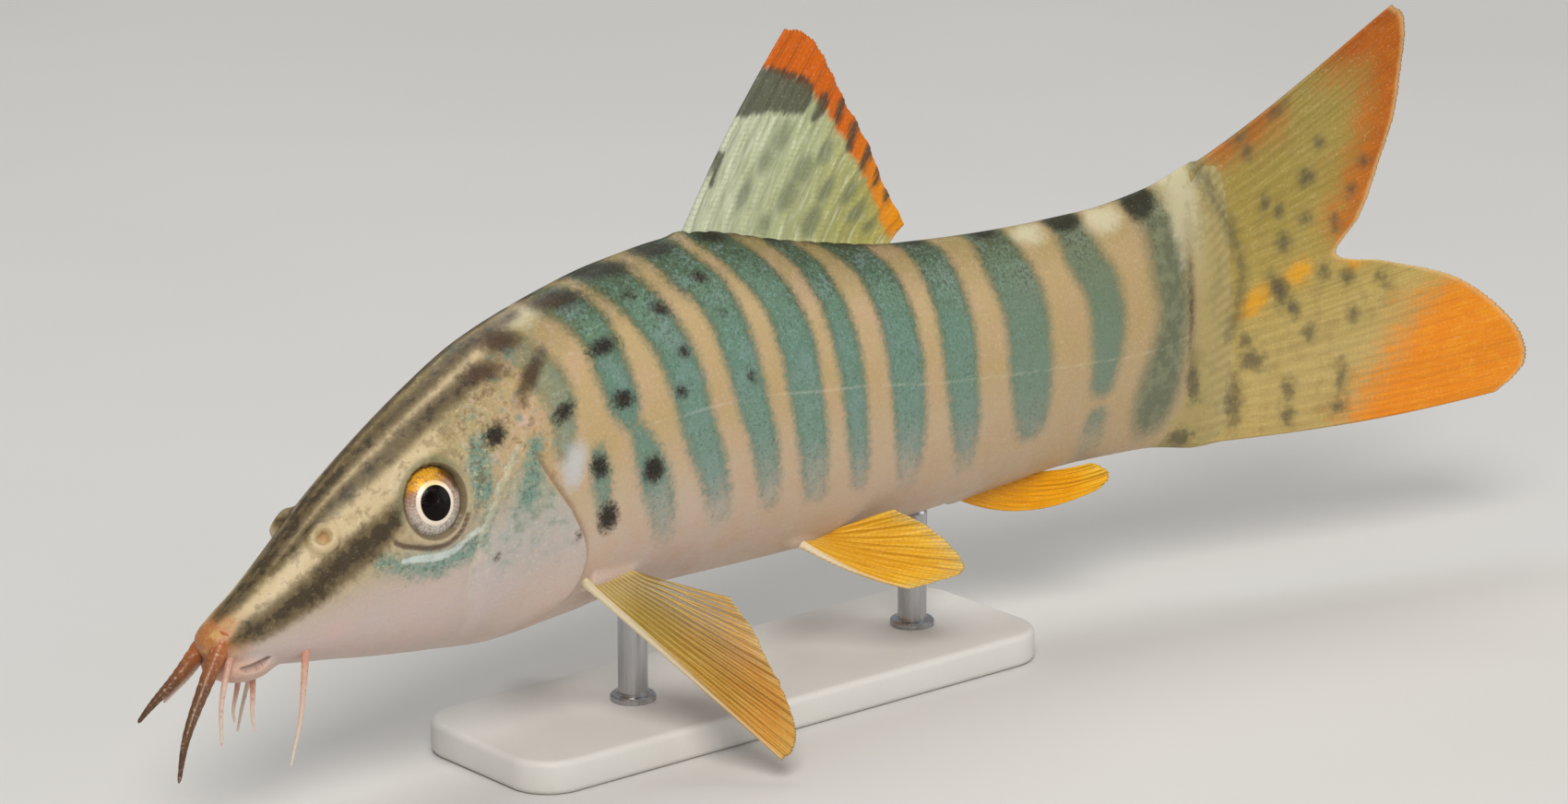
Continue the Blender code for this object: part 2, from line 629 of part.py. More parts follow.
def make_stand(collection, cutter):
    bm = bmesh.new()
    bmesh.ops.create_cube(bm, size=1.0)
    bmesh.ops.scale(bm, vec=(BASE_LENGTH, BASE_WIDTH, BASE_HEIGHT), verts=bm.verts)
    bmesh.ops.translate(bm, vec=(0, 0, BASE_HEIGHT / 2), verts=bm.verts)
    base = object_from(bm, "stand_base", collection)
    upright = [edge.index for edge in base.data.edges if is_upright(base.data, edge)]
    corner = base.modifiers.new("corners", "BEVEL")
    corner.limit_method = "WEIGHT"
    corner.width = BASE_CORNER * MM
    corner.segments = 6
    weights = base.data.attributes.new("bevel_weight_edge", "FLOAT", "EDGE")
    for index in upright:
        weights.data[index].value = 1.0
    settle(base)
    edge = base.modifiers.new("edge", "BEVEL")
    edge.width = BASE_EDGE * MM
    edge.segments = 2
    edge.angle_limit = math.radians(60)
    settle(base)
    pieces = [base]
    for name, x in RODS.items():
        foot = Vector((x, midline(x), BASE_HEIGHT + GAP))
        head = Vector((x, midline(x), along(BELLY, x) + ROD_RUN_ON))
        rod = tube(name, collection, [foot, head], [ROD_RADIUS, ROD_RADIUS], 8)
        cut_by(rod, cutter)
        pieces.append(rod)
    return pieces


def is_upright(mesh, edge):
    a, b = (mesh.vertices[index].co for index in edge.vertices)
    return abs(a.z - b.z) > BASE_HEIGHT * MM / 2


def dress(objects, material):
    for obj in objects:
        obj.data.materials.clear()
        obj.data.materials.append(material)


def main():
    clear_scene()
    loach = new_collection("tiger_loach")
    cutters = new_collection("cutters", hidden=True)
    clearance = make_clearance(cutters)
    dress([make_head(loach)], new_material("head_skin", (0.30, 0.27, 0.17)))
    dress([make_torso(loach)], new_material("flank_skin", (0.33, 0.36, 0.26)))
    dress([make_peduncle(loach)], new_material("tail_skin", (0.38, 0.34, 0.22)))
    eyes = [eye_form("eye_left", loach, -1), eye_form("eye_right", loach, 1)]
    dress(eyes, new_material("eye", (0.75, 0.66, 0.55), 0.1))
    dress(make_fins(loach, clearance), new_material("fin", (0.60, 0.42, 0.10)))
    dress(make_barbels(loach, clearance), new_material("barbel", (0.35, 0.20, 0.12)))
    base, *rods = make_stand(loach, clearance)
    dress([base], new_material("stand_base", (0.72, 0.70, 0.67), 0.6))
    dress(rods, new_material("stand_rod", (0.55, 0.55, 0.56), 0.3, 1.0))


main()
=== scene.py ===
"""Looks of the tiger loach display model: skin, eyes, fins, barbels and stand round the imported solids.

Sizes are in millimetres and become metres as each mesh is shaped. X runs from head to tail, the
fish's left side faces -Y and Z is up. On the skin a place is also told by x and by how many
millimetres it lies down from the middle of the back, measured over the skin.
"""

import math
from collections import namedtuple

import bpy
import numpy as np
from mathutils import Matrix, Vector


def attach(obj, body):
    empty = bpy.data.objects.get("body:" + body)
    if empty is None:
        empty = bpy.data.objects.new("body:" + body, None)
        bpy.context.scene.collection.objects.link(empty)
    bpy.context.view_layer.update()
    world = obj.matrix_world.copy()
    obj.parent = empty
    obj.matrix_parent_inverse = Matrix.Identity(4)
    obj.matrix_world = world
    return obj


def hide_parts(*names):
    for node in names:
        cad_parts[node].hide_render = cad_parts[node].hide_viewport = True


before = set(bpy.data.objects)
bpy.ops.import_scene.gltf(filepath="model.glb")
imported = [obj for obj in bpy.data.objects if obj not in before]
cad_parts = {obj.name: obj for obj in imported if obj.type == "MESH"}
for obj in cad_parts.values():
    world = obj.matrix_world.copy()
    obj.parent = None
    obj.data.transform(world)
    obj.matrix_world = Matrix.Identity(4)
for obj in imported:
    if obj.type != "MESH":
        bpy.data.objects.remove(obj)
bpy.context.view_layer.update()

bl_info = {
    "name": "Tiger loach display model",
    "version": (1, 0, 0),
    "blender": (4, 5, 0),
    "location": "3D View > Sidebar > Loach",
    "description": "Dresses the solids of a tiger loach display model",
    "category": "Object",
}

MM = 0.001

# The body from snout to tail root: x, back height, belly height, half width,
# level of the widest place (0 belly, 1 back), fullness of the back, fullness of the belly
BODY = np.array((
    (-57.6, 18.6, 17.8, 0.5, 0.50, 2.00, 2.0),
    (-57.0, 19.3, 17.2, 1.5, 0.50, 2.00, 2.0),
    (-55.5, 20.4, 16.4, 2.3, 0.48, 2.00, 2.2),
    (-53.0, 22.0, 15.7, 3.0, 0.46, 2.00, 2.3),
    (-49.5, 24.9, 15.0, 3.8, 0.44, 1.90, 2.3),
    (-45.6, 28.3, 14.4, 4.5, 0.42, 1.90, 2.3),
    (-40.8, 31.8, 13.6, 5.2, 0.42, 1.90, 2.3),
    (-34.6, 35.7, 12.8, 6.0, 0.42, 1.90, 2.3),
    (-29.5, 38.4, 12.3, 6.6, 0.42, 1.85, 2.3),
    (-21.3, 41.0, 12.9, 7.1, 0.43, 1.85, 2.3),
    (-15.0, 42.4, 13.5, 7.3, 0.45, 1.85, 2.2),
    (-6.6, 43.3, 13.4, 7.3, 0.46, 1.85, 2.2),
    (5.0, 40.9, 13.3, 7.0, 0.47, 1.85, 2.2),
    (18.5, 38.6, 13.6, 6.1, 0.48, 1.85, 2.1),
    (30.0, 38.1, 14.4, 5.0, 0.49, 1.90, 2.0),
    (39.0, 38.4, 14.9, 3.9, 0.50, 1.90, 1.9),
    (46.0, 39.5, 14.9, 2.9, 0.50, 1.80, 1.8),
    (51.5, 41.3, 14.2, 1.7, 0.50, 1.80, 1.8),
))
SNOUT_X, TAIL_ROOT_X = BODY[0, 0], BODY[-1, 0]
BACK, BELLY, HALF_WIDTH, WAIST, BACK_FULLNESS, BELLY_FULLNESS = range(1, 7)

# The bend of the middle plane, seen from above: both ends swing to the fish's left
TAIL_BEND_FROM, TAIL_BEND = 15.0, 0.0021
HEAD_BEND_FROM, HEAD_BEND = -12.0, 0.0010
TAIL_TWIST_FROM, TAIL_TWIST_TO, TAIL_TWIST = 42.0, 76.0, math.tan(math.radians(9))
TAIL_AXIS_Z = 27.0

# The gill cover: the bow of its rear edge, and the stretch of skin whose rings bow with it
GILL_X, GILL_REACH = -28.8, 6.3
GILL_TURN, GILL_SPREAD = math.radians(112), math.radians(38)
BOW_FROM, BOW_TO = -46.0, -6.0
# Its relief: the heights and widths of the flare before the slit, of the slit's wall and of the dip
# behind it, and the turns between which the relief comes in and goes out
GILL_FLARE, FLARE_WIDTH, SLIT_WIDTH = 0.62, 3.4, 0.16
DIP_BEHIND, DIP_DEPTH, DIP_WIDTH = 0.32, 0.3, 0.28
RELIEF_FROM, RELIEF_TO, RELIEF_SOFT = 0.95, 2.7, 0.5
# The crease across the cheek: where it starts below, how it leans back with height, its groove and ridge
CREASE_X, CREASE_LEAN, CREASE_LOW, CREASE_TALL, CREASE_CURVE = -33.6, 5.2, 19.0, 11.0, 1.6
GROOVE_DEPTH, GROOVE_WIDTH = 0.2, 0.7
RIDGE_BEHIND, RIDGE_HEIGHT, RIDGE_WIDTH = 1.3, 0.08, 0.9

# The eye: its place and ball, the slant along which it is narrowed, its grid, the bulge of its front, the
# lid's ring, and how much wider and deeper the socket is than the ball
EYE_X, EYE_TURN = -36.9, math.radians(64.5)
EYE_RADIUS, EYE_HALF_DEPTH, EYE_SUNK = 3.15, 2.1, 1.35
EYE_SLANT, EYE_NARROWED = math.radians(30), (0.91, 0.99, 1.0, 1.0)
EYE_TURNS, EYE_ROWS, EYE_BULGE, EYE_BULGE_WIDTH = 112, 72, 0.16, 0.62
LID_RADIUS, LID_THICKNESS, LID_SUNK = 3.58, 0.38, 0.3
SOCKET_PLAY, SOCKET_DEEPER = 0.02, 1.0
# The fold below the eye: its distance from the eye's middle at these angles, and its height and width
FOLD_ANGLES, FOLD_RADII = (-166, -143, -118, -95, -71, -47), (5.0, 4.1, 3.8, 3.8, 3.7, 3.55)
FOLD_HEIGHT, FOLD_END_SLOPE = 0.26, 0.06
# How deep the eye's own marks reach, and how quickly they fade past that
EYE_MARKS_DEEP, EYE_MARKS_FADE = 2.5, 4

# Front and rear nostrils: the rim's radius and thickness, its rings' heights, and the pits' half sizes
NOSTRIL_X, NOSTRIL_TURN = -46.6, math.radians(41)
NOSTRIL_RIM, NOSTRIL_RIM_THICKNESS, NOSTRIL_RIM_HEIGHTS = 0.94, 0.24, (0.0, 0.16, 0.30)
NOSTRIL_LEAN, NOSTRIL_NARROWS = -1.1, 0.4
NOSTRIL_PIT_AT, NOSTRIL_PIT = (-0.1, 0, 0.35), (0.62, 0.5, 0.75)
REAR_NOSTRIL_STEP, REAR_NOSTRIL_TURN, REAR_NOSTRIL_PIT = 2.5, 0.09, (0.55, 0.36, 0.35)

# Lips and tip of the snout, as place and half sizes, the line between the lips as x, distance from the
# middle plane and z, its radius as least and more, and the groove of the chin
LIPS_AT, LIPS_SIZE = (-53.7, 0, 16.05), (3.2, 2.6, 1.62)
SNOUT_TIP_AT, SNOUT_TIP_SIZE = (-55.3, 0, 17.9), (1.7, 1.9, 1.3)
MOUTH_LINE = ((-52.4, 2.5, 16.75), (-53.2, 2.6, 16.35), (-54.3, 2.45, 16.15), (-55.4, 1.75, 16.2))
MOUTH_STEPS, MOUTH_LEAST, MOUTH_MORE = 13, 0.05, 0.27
CHIN_GROOVE, CHIN_GROOVE_RADII = ((-55.4, 0, 14.8), (-52.2, 0, 14.6)), (0.3, 0.12)

# Rings of the skin: where a stretch of the body ends, and how many rings lie in it
SKIN_STRETCHES = ((-57.6, 0), (-56.6, 16), (-48.0, 84), (-30.0, 106), (-21.5, 52), (51.5, 140), (57.4, 24))
SKIN_TURNS = 228

# The distance, in millimetres, that stands for far from every mark
FAR_OFF = 9.0

# How points move out to the surface of the soft forms: in how many steps, and by what part of the gap
SCULPT_STEPS, SCULPT_STRIDE = 36, 0.75

# The ripples that shift the right side's marks along and down the body, so that they are no mirror image
RIGHT_SHIFT_X, RIGHT_SHIFT_DOWN = (0.5, 0.31, 1.0), (0.35, 0.43)

# Marks of the skin. A long mark is a line of points, each as x, millimetres down from the middle of the
# back and half width. An oval patch is x, millimetres down, half length, half width and tilt in radians.
BARS = (
    ((-28.0, 1.6, 1.0), (-25.5, 5.4, 1.2), (-23.9, 9.2, 1.3), (-24.2, 12.6, 0.9)),
    ((-21.6, 1.4, 1.6), (-19.3, 5.0, 1.5), (-18.3, 10.0, 1.45), (-17.7, 12.4, 1.3), (-17.3, 14.0, 0.6)),
    ((-16.8, 15.0, 0.6), (-15.6, 18.2, 1.25), (-14.4, 21.7, 1.2), (-13.4, 25.5, 0.9)),
    ((-21.0, 14.8, 0.6), (-20.8, 16.8, 0.8), (-20.4, 19.0, 0.4)),
    ((-16.6, 0.6, 1.8), (-14.2, 4.9, 1.75), (-12.1, 9.5, 1.7), (-11.2, 12.8, 1.7), (-10.4, 16.8, 1.6),
     (-8.9, 21.2, 1.4), (-7.6, 25.6, 1.0)),
    ((-9.9, 0.0, 1.9), (-8.8, 3.4, 1.9), (-6.9, 6.0, 1.85), (-5.8, 9.0, 1.8), (-5.0, 12.8, 1.75),
     (-4.3, 16.2, 1.6), (-3.2, 19.7, 1.4), (-2.2, 24.6, 1.0)),
    ((-4.6, 0.0, 2.0), (-1.9, 3.6, 2.1), (0.1, 6.4, 2.1), (1.2, 9.9, 2.1), (1.6, 14.4, 1.9),
     (2.2, 18.4, 1.7), (3.1, 23.6, 1.3)),
    ((3.3, 0.0, 1.3), (5.3, 3.2, 1.4), (6.3, 6.2, 1.45), (6.9, 9.6, 1.45), (7.2, 13.7, 1.35),
     (7.6, 18.1, 1.2), (8.4, 23.0, 0.8)),
    ((10.2, 0.0, 2.0), (12.4, 2.9, 2.1), (13.3, 5.9, 2.15), (13.7, 9.8, 2.1), (13.8, 14.0, 2.0),
     (14.2, 20.0, 1.6), (14.5, 22.6, 1.0)),
    ((19.0, 0.0, 1.7), (19.9, 2.7, 1.9), (20.3, 6.4, 2.0), (20.5, 9.8, 2.0), (20.5, 13.5, 1.9),
     (21.1, 18.0, 1.6), (21.7, 21.8, 1.0)),
    ((27.4, 0.0, 2.1), (27.9, 4.0, 2.5), (28.8, 7.1, 2.6), (29.1, 10.6, 2.6), (29.2, 14.5, 2.5),
     (29.7, 18.6, 1.9)),
    ((36.2, 0.0, 1.7), (36.9, 4.3, 2.0), (38.4, 7.2, 2.1), (39.0, 10.3, 2.1), (38.9, 13.3, 1.9),
     (38.5, 16.3, 1.4)),
    ((38.4, 20.2, 1.1), (38.3, 22.6, 1.4)),
    ((44.6, 0.0, 1.7), (46.4, 3.6, 1.9), (47.0, 7.6, 2.1), (47.6, 11.6, 2.0), (47.0, 15.3, 2.3),
     (46.0, 19.4, 2.8), (45.8, 21.8, 2.0)),
)
SHADES = (
    (-26.0, 6.2, 1.9, 0.8, -0.6), (-30.0, 3.6, 1.9, 0.8, 0.5), (-27.6, 2.2, 1.9, 0.9, 0.5),
    (-21.2, 1.6, 2.4, 0.9, 0.4), (-15.9, 0.9, 2.6, 0.9, 0.3), (-10.2, 0.9, 1.9, 0.9, 0.2),
    (-4.0, 0.8, 1.5, 0.8, 0.0), (36.3, 0.6, 1.9, 1.3, 0.0), (44.7, 0.9, 1.7, 1.8, 0.0),
    (50.6, 19.3, 0.7, 1.9, 0.0), (49.4, 26.0, 1.5, 1.3, 0.0), (50.0, 12.0, 0.3, 4.2, 0.0),
    (10.5, 0.0, 6.4, 0.7, 0.0), (0.5, 0.0, 3.2, 0.5, 0.0), (19.5, 0.2, 1.2, 0.5, 0.0),
    (27.6, 0.3, 1.4, 0.8, 0.0), (10.2, 0.3, 1.4, 0.4, 0.0), (3.4, 0.3, 1.2, 0.5, 0.0),
)
SPOTS = (
    (-30.5, 8.5, 0.95, 0.65, 0.6), (-23.8, 10.3, 0.85, 0.6, 0.0), (-18.8, 7.2, 1.15, 0.55, 0.2),
    (-17.9, 11.9, 0.95, 0.55, 0.6), (-11.0, 10.4, 0.42, 0.3, 0.68), (-11.9, 13.5, 0.45, 0.32, 0.68),
    (-12.3, 6.3, 0.66, 0.42, 0.6), (-14.9, 4.2, 0.4, 0.22, 0.68), (-7.4, 4.8, 0.55, 0.34, 0.68),
    (-6.3, 8.1, 0.2, 0.12, 0.68), (-4.3, 13.8, 0.42, 0.26, 1.2), (-15.3, 18.6, 1.15, 0.8, 0.9),
    (-20.9, 15.7, 0.85, 0.55, 0.8), (-20.1, 19.7, 1.1, 0.75, 0.9), (-23.6, 19.0, 0.14, 0.16, 0.0),
    (-31.4, 16.3, 0.05, 0.05, 0.0),
)
HEAD_DARKS = (
    ((-56.0, 0.2, 0.7), (-50.0, 0.35, 0.75), (-44.0, 0.6, 0.65), (-37.2, 1.0, 0.6), (-31.0, 1.0, 0.6),
     (-25.0, 0.8, 0.5)),
    ((-51.0, 1.3, 0.3), (-48.0, 1.7, 0.45), (-43.8, 2.4, 0.6), (-40.0, 2.9, 0.65), (-38.0, 3.0, 0.8),
     (-35.4, 3.1, 0.7), (-33.1, 3.3, 0.8), (-31.0, 3.6, 0.6)),
    ((-56.8, 2.6, 0.5), (-55.1, 3.0, 0.7), (-52.8, 3.9, 0.95), (-50.5, 4.9, 1.1), (-46.9, 6.3, 1.35),
     (-44.4, 7.1, 1.45), (-41.8, 7.6, 1.25), (-39.9, 7.6, 0.9)),
)
HEAD_CREAMS = (
    ((-50.0, 0.9, 0.2), (-44.0, 1.5, 0.3), (-40.0, 1.95, 0.4), (-36.0, 2.1, 0.35), (-31.0, 2.3, 0.4),
     (-29.0, 1.6, 0.5)),
    ((-56.8, 1.3, 0.5), (-51.5, 2.5, 0.8), (-48.4, 3.6, 1.0), (-44.9, 4.5, 1.1), (-40.5, 5.0, 0.9),
     (-36.0, 5.0, 0.5)),
)
CREAM_PATCHES = (
    (31.9, 1.3, 1.6, 1.1, 0.0), (40.3, 1.5, 1.9, 1.3, 0.0), (49.0, 3.4, 1.0, 3.4, 0.0),
    (-25.0, 1.2, 1.5, 0.9, 0.3), (-23.4, 14.4, 1.2, 1.3, 0.0),
)
HEAD_TEALS = (
    ((-42.6, 9.4, 0.3), (-40.4, 11.3, 0.5), (-38.0, 12.9, 0.65), (-35.4, 14.0, 0.7), (-33.2, 14.2, 0.6),
     (-31.8, 13.0, 0.3)),
    ((-32.3, 8.4, 0.9), (-32.6, 11.0, 1.0)),
    ((-27.0, 11.4, 0.7), (-28.4, 13.8, 0.8)),
)
PALE_LINES = (
    ((-40.4, 11.0, 0.12), (-38.8, 11.9, 0.2), (-37.0, 12.9, 0.24), (-35.4, 13.4, 0.22),
     (-33.9, 13.3, 0.2), (-32.4, 13.6, 0.14)),
    ((-16.0, 15.0, 0.1), (-6.0, 15.9, 0.12), (-0.4, 15.2, 0.1), (5.6, 14.4, 0.1), (14.0, 13.8, 0.1),
     (27.1, 13.9, 0.08), (39.0, 14.4, 0.08), (50.0, 15.6, 0.08)),
    ((-22.8, 6.6, 0.07), (-16.0, 4.8, 0.07)),
)


def slopes_through(values):
    """Slopes at the body's stations for a smooth curve with no overshoot."""
    rises = np.diff(values) / np.diff(BODY[:, 0])
    before, after = rises[:-1], rises[1:]
    both = before * after
    inner = np.where(both > 0, 2 * both / np.where(both > 0, before + after, 1), 0)
    return np.concatenate([rises[:1], inner, rises[-1:]])


SLOPES = {column: slopes_through(BODY[:, column]) for column in range(1, 7)}


def along(column, x):
    """One measure of the body at x, on the smooth curve through its stations."""
    x = np.clip(x, SNOUT_X, TAIL_ROOT_X)
    i = np.clip(np.searchsorted(BODY[:, 0], x, side="right") - 1, 0, len(BODY) - 2)
    step = BODY[i + 1, 0] - BODY[i, 0]
    t = (x - BODY[i, 0]) / step
    first, last = BODY[i, column], BODY[i + 1, column]
    slope_a, slope_b = SLOPES[column][i] * step, SLOPES[column][i + 1] * step
    rise = last - first
    squared, cubed = 3 * rise - 2 * slope_a - slope_b, slope_a + slope_b - 2 * rise
    return first + slope_a * t + squared * t**2 + cubed * t**3


def rising(value):
    """0 up to 0, 1 from 1 on, with a soft rise between."""
    value = np.clip(value, 0.0, 1.0)
    return value * value * (3 - 2 * value)


def hump(away, width, height=1.0):
    """A soft bump, full height where away is 0."""
    return height * np.exp(-((away / width) ** 2))


def ripple(place, height, pace, start=0.0):
    """A wave along a place, told by its height, its pace and where it starts."""
    return height * np.sin(pace * place + start)


def midline(x, z=TAIL_AXIS_Z):
    """How far the fish's middle plane lies from y = 0 at this place."""
    bend = TAIL_BEND * np.maximum(0, x - TAIL_BEND_FROM) ** 2
    bend = bend + HEAD_BEND * np.maximum(0, HEAD_BEND_FROM - x) ** 2
    twist = TAIL_TWIST * rising((x - TAIL_TWIST_FROM) / (TAIL_TWIST_TO - TAIL_TWIST_FROM))
    return -bend + twist * (z - TAIL_AXIS_Z)


def flank(x, turn, grow=0.0, shrink=1.0):
    """Points of the body's surface. Turn runs from 0 on the back by the left flank to pi on the belly."""
    x, turn = np.broadcast_arrays(np.asarray(x, float), np.asarray(turn, float))
    back, belly, half_width, waist = (along(column, x) for column in (BACK, BELLY, HALF_WIDTH, WAIST))
    level = belly + (back - belly) * waist
    sine, cosine = np.sin(turn), np.cos(turn)
    fullness = np.where(cosine > 0, along(BACK_FULLNESS, x), along(BELLY_FULLNESS, x))
    height = np.where(cosine > 0, back - level, level - belly)
    out = (half_width * shrink + grow) * np.sign(sine) * np.abs(sine) ** (2 / fullness)
    z = level + (height + grow) * np.sign(cosine) * np.abs(cosine) ** (2 / fullness)
    return np.stack([x, midline(x, z) - out, z], -1)


def flank_frame(x, turn):
    """The surface point at x and turn as a matrix, its Z axis pointing straight out of the body."""
    step = 0.05
    tailward = Vector(flank(x + step, turn)) - Vector(flank(x - step, turn))
    downward = Vector(flank(x, turn + step)) - Vector(flank(x, turn - step))
    out = downward.cross(tailward).normalized()
    if out.y * math.sin(turn) > 0:
        out = -out
    tailward = (tailward - out * tailward.dot(out)).normalized()
    up = out.cross(tailward)
    placed = Matrix((tailward, up, out)).transposed().to_4x4()
    placed.translation = Vector(flank(x, turn))
    return placed


def gill_bow(turn):
    """How far the gill cover's edge reaches behind GILL_X at this turn, alike on both sides."""
    turn = np.abs((turn + math.pi) % (2 * math.pi) - math.pi)
    return hump(turn - GILL_TURN, GILL_SPREAD, GILL_REACH)


def through(points, t):
    """Points on the smooth curve through the given points, t running from 0 to 1."""
    points = np.asarray(points, float)
    padded = np.concatenate([2 * points[:1] - points[1:2], points, 2 * points[-1:] - points[-2:-1]])
    place = np.clip(np.asarray(t, float), 0, 1) * (len(points) - 1)
    i = np.minimum(place.astype(int), len(points) - 2)
    t = (place - i)[..., None]
    a, b, c, d = (padded[i + k] for k in range(4))
    squared, cubed = 2 * a - 5 * b + 4 * c - d, 3 * b - a - 3 * c + d
    return 0.5 * (2 * b + (c - a) * t + squared * t**2 + cubed * t**3)


def from_middle(x, out, z):
    """A point given by its distance from the fish's middle plane, the left side negative."""
    return np.array([x, midline(x, z) + out, z])


def deselect_all():
    """Leaves nothing selected, because operators act on all that is."""
    for obj in bpy.context.selected_objects:
        obj.select_set(False)


def flat_grid(name, columns, rows):
    """Adds a flat grid to be shaped, and tells for each of its points its column and row."""
    deselect_all()
    bpy.ops.mesh.primitive_grid_add(x_subdivisions=columns, y_subdivisions=rows, size=1)
    obj = bpy.context.object
    obj.name = obj.data.name = name
    places = np.empty(len(obj.data.vertices) * 3, np.float32)
    obj.data.vertices.foreach_get("co", places)
    places = places.reshape(-1, 3)
    column = np.rint((places[:, 0] + 0.5) * columns).astype(int)
    row = np.rint((places[:, 1] + 0.5) * rows).astype(int)
    return obj, column, row


def keep_values(mesh, values):
    """Stores one number for each point of the mesh under each name."""
    for name, numbers in values.items():
        layer = mesh.attributes.new(name, "FLOAT", "POINT")
        layer.data.foreach_set("value", np.asarray(numbers, np.float32).ravel())


def shape_grid(obj, column, row, places, values=None, merge=0.002):
    """Moves the grid's points to places in millimetres, given by row and column, and closes its seams."""
    mesh = obj.data
    mesh.vertices.foreach_set("co", (places[row, column] * MM).astype(np.float32).ravel())
    keep_values(mesh, {name: table[row, column] for name, table in (values or {}).items()})
    for layer in list(mesh.uv_layers):
        mesh.uv_layers.remove(layer)
    bpy.context.view_layer.objects.active = obj
    bpy.ops.object.mode_set(mode="EDIT")
    bpy.ops.mesh.select_all(action="SELECT")
    bpy.ops.mesh.remove_doubles(threshold=merge * MM)
    bpy.ops.mesh.normals_make_consistent(inside=False)
    bpy.ops.object.mode_set(mode="OBJECT")
    bpy.ops.object.shade_smooth()
    return obj


def blend_in(field, other, soft):
    """Joins two distance fields with a soft fillet."""
    share = np.clip(0.5 + 0.5 * (other - field) / soft, 0, 1)
    return other + (field - other) * share - soft * share * (1 - share)


def carve_out(field, other, soft):
    """Takes the other field's inside out of this one, its edge rounded."""
    return -blend_in(-field, other, soft)


def rope_field(points, route, radii):
    """Distance to a round rope along the route, its radius given at each point of it."""
    best = np.full(len(points), 1e9)
    for a, b, ra, rb in zip(route, route[1:], radii, radii[1:]):
        span = b - a
        t = np.clip((points - a) @ span / max(1e-9, span @ span), 0, 1)
        gap = np.linalg.norm(points - a - t[:, None] * span, axis=1)
        best = np.minimum(best, gap - (ra + (rb - ra) * t))
    return best


def local_places(points, placed):
    """The points as seen in the frame of a placing matrix."""
    inverse = np.array(placed.inverted())
    return points @ inverse[:3, :3].T + inverse[:3, 3]


def pad_field(points, placed, radii):
    """Distance to an ellipsoid set by a placing matrix."""
    local = local_places(points, placed)
    outer = np.linalg.norm(local / radii, axis=1)
    slope = np.linalg.norm(local / np.square(radii), axis=1)
    return outer * (outer - 1) / np.maximum(slope, 1e-6)


def ring_field(points, placed, radius, thickness):
    """Distance to a ring lying flat in the frame of a placing matrix."""
    local = local_places(points, placed)
    away = np.hypot(local[:, 0], local[:, 1]) - radius
    return np.hypot(away, local[:, 2]) - thickness


def mouth_line(side):
    """The line between the lips on one side, from the corner of the mouth forwards."""
    knots = [from_middle(x, side * out, z) for x, out, z in MOUTH_LINE]
    return through(knots, np.linspace(0, 1, MOUTH_STEPS))


def mouth_swell(points):
    """Distance to the soft bulge of the lips."""
    return pad_field(points, Matrix.Translation(Vector(from_middle(*LIPS_AT))), LIPS_SIZE)


def mouth_gap(points):
    """Distance to the groove between the lips, deepest halfway along each side."""
    depth = MOUTH_LEAST + MOUTH_MORE * np.sin(np.linspace(0.2, math.pi, MOUTH_STEPS))
    return np.minimum(*(rope_field(points, mouth_line(side), depth) for side in (-1, 1)))


def head_forms(points, field):
    """Adds the lips and nostrils of the head to the distance field of its plain skin."""
    field = blend_in(field, mouth_swell(points), 0.7)
    tip = Matrix.Translation(Vector(from_middle(*SNOUT_TIP_AT)))
    field = blend_in(field, pad_field(points, tip, SNOUT_TIP_SIZE), 0.9)
    field = carve_out(field, mouth_gap(points), 0.2)
    groove = [from_middle(*point) for point in CHIN_GROOVE]
    field = carve_out(field, rope_field(points, groove, CHIN_GROOVE_RADII), 0.25)
    for side in (-1, 1):
        place = flank_frame(NOSTRIL_X, -side * NOSTRIL_TURN)
        for height in NOSTRIL_RIM_HEIGHTS:
            raised = place @ Matrix.Translation((NOSTRIL_LEAN * height, 0, height))
            radius = NOSTRIL_RIM - NOSTRIL_NARROWS * height
            field = blend_in(field, ring_field(points, raised, radius, NOSTRIL_RIM_THICKNESS), 0.55)
        pit = place @ Matrix.Translation(NOSTRIL_PIT_AT)
        field = carve_out(field, pad_field(points, pit, NOSTRIL_PIT), 0.4)
        rear = flank_frame(NOSTRIL_X + REAR_NOSTRIL_STEP, -side * (NOSTRIL_TURN + REAR_NOSTRIL_TURN))
        field = carve_out(field, pad_field(points, rear, REAR_NOSTRIL_PIT), 0.25)
    return field


def eye_frame(side):
    """The eye's place as a matrix, narrowed along a slanting line that is mirrored on the other side."""
    slant = Matrix.Rotation(side * EYE_SLANT, 4, "Z")
    return flank_frame(EYE_X, -side * EYE_TURN) @ slant @ Matrix.Diagonal(EYE_NARROWED) @ slant.inverted()


def eye_places(points, side):
    """The points seen in the eye's frame, X tailward and Y upward on both sides."""
    local = local_places(points, eye_frame(side))
    local[:, 1] *= -side
    return local


def eye_away(local):
    """Distance of points in the eye's frame from its axis, growing fast for those far off its plane."""
    deeper = EYE_MARKS_FADE * np.maximum(0, np.abs(local[:, 2]) - EYE_MARKS_DEEP)
    return np.hypot(local[:, 0], local[:, 1]) + deeper


def fold_away(points, side):
    """How far each point lies from the fold of skin below the eye, seen along the eye's axis."""
    local = eye_places(points, side)
    angle = np.degrees(np.arctan2(local[:, 1], local[:, 0]))
    arc = np.interp(angle, FOLD_ANGLES, FOLD_RADII)
    past = np.maximum(0, np.maximum(FOLD_ANGLES[0] - angle, angle - FOLD_ANGLES[-1])) * FOLD_END_SLOPE
    far = np.hypot(np.hypot(local[:, 0], local[:, 1]) - arc, past)
    return far + EYE_MARKS_FADE * np.maximum(0, np.abs(local[:, 2]) - EYE_MARKS_DEEP)


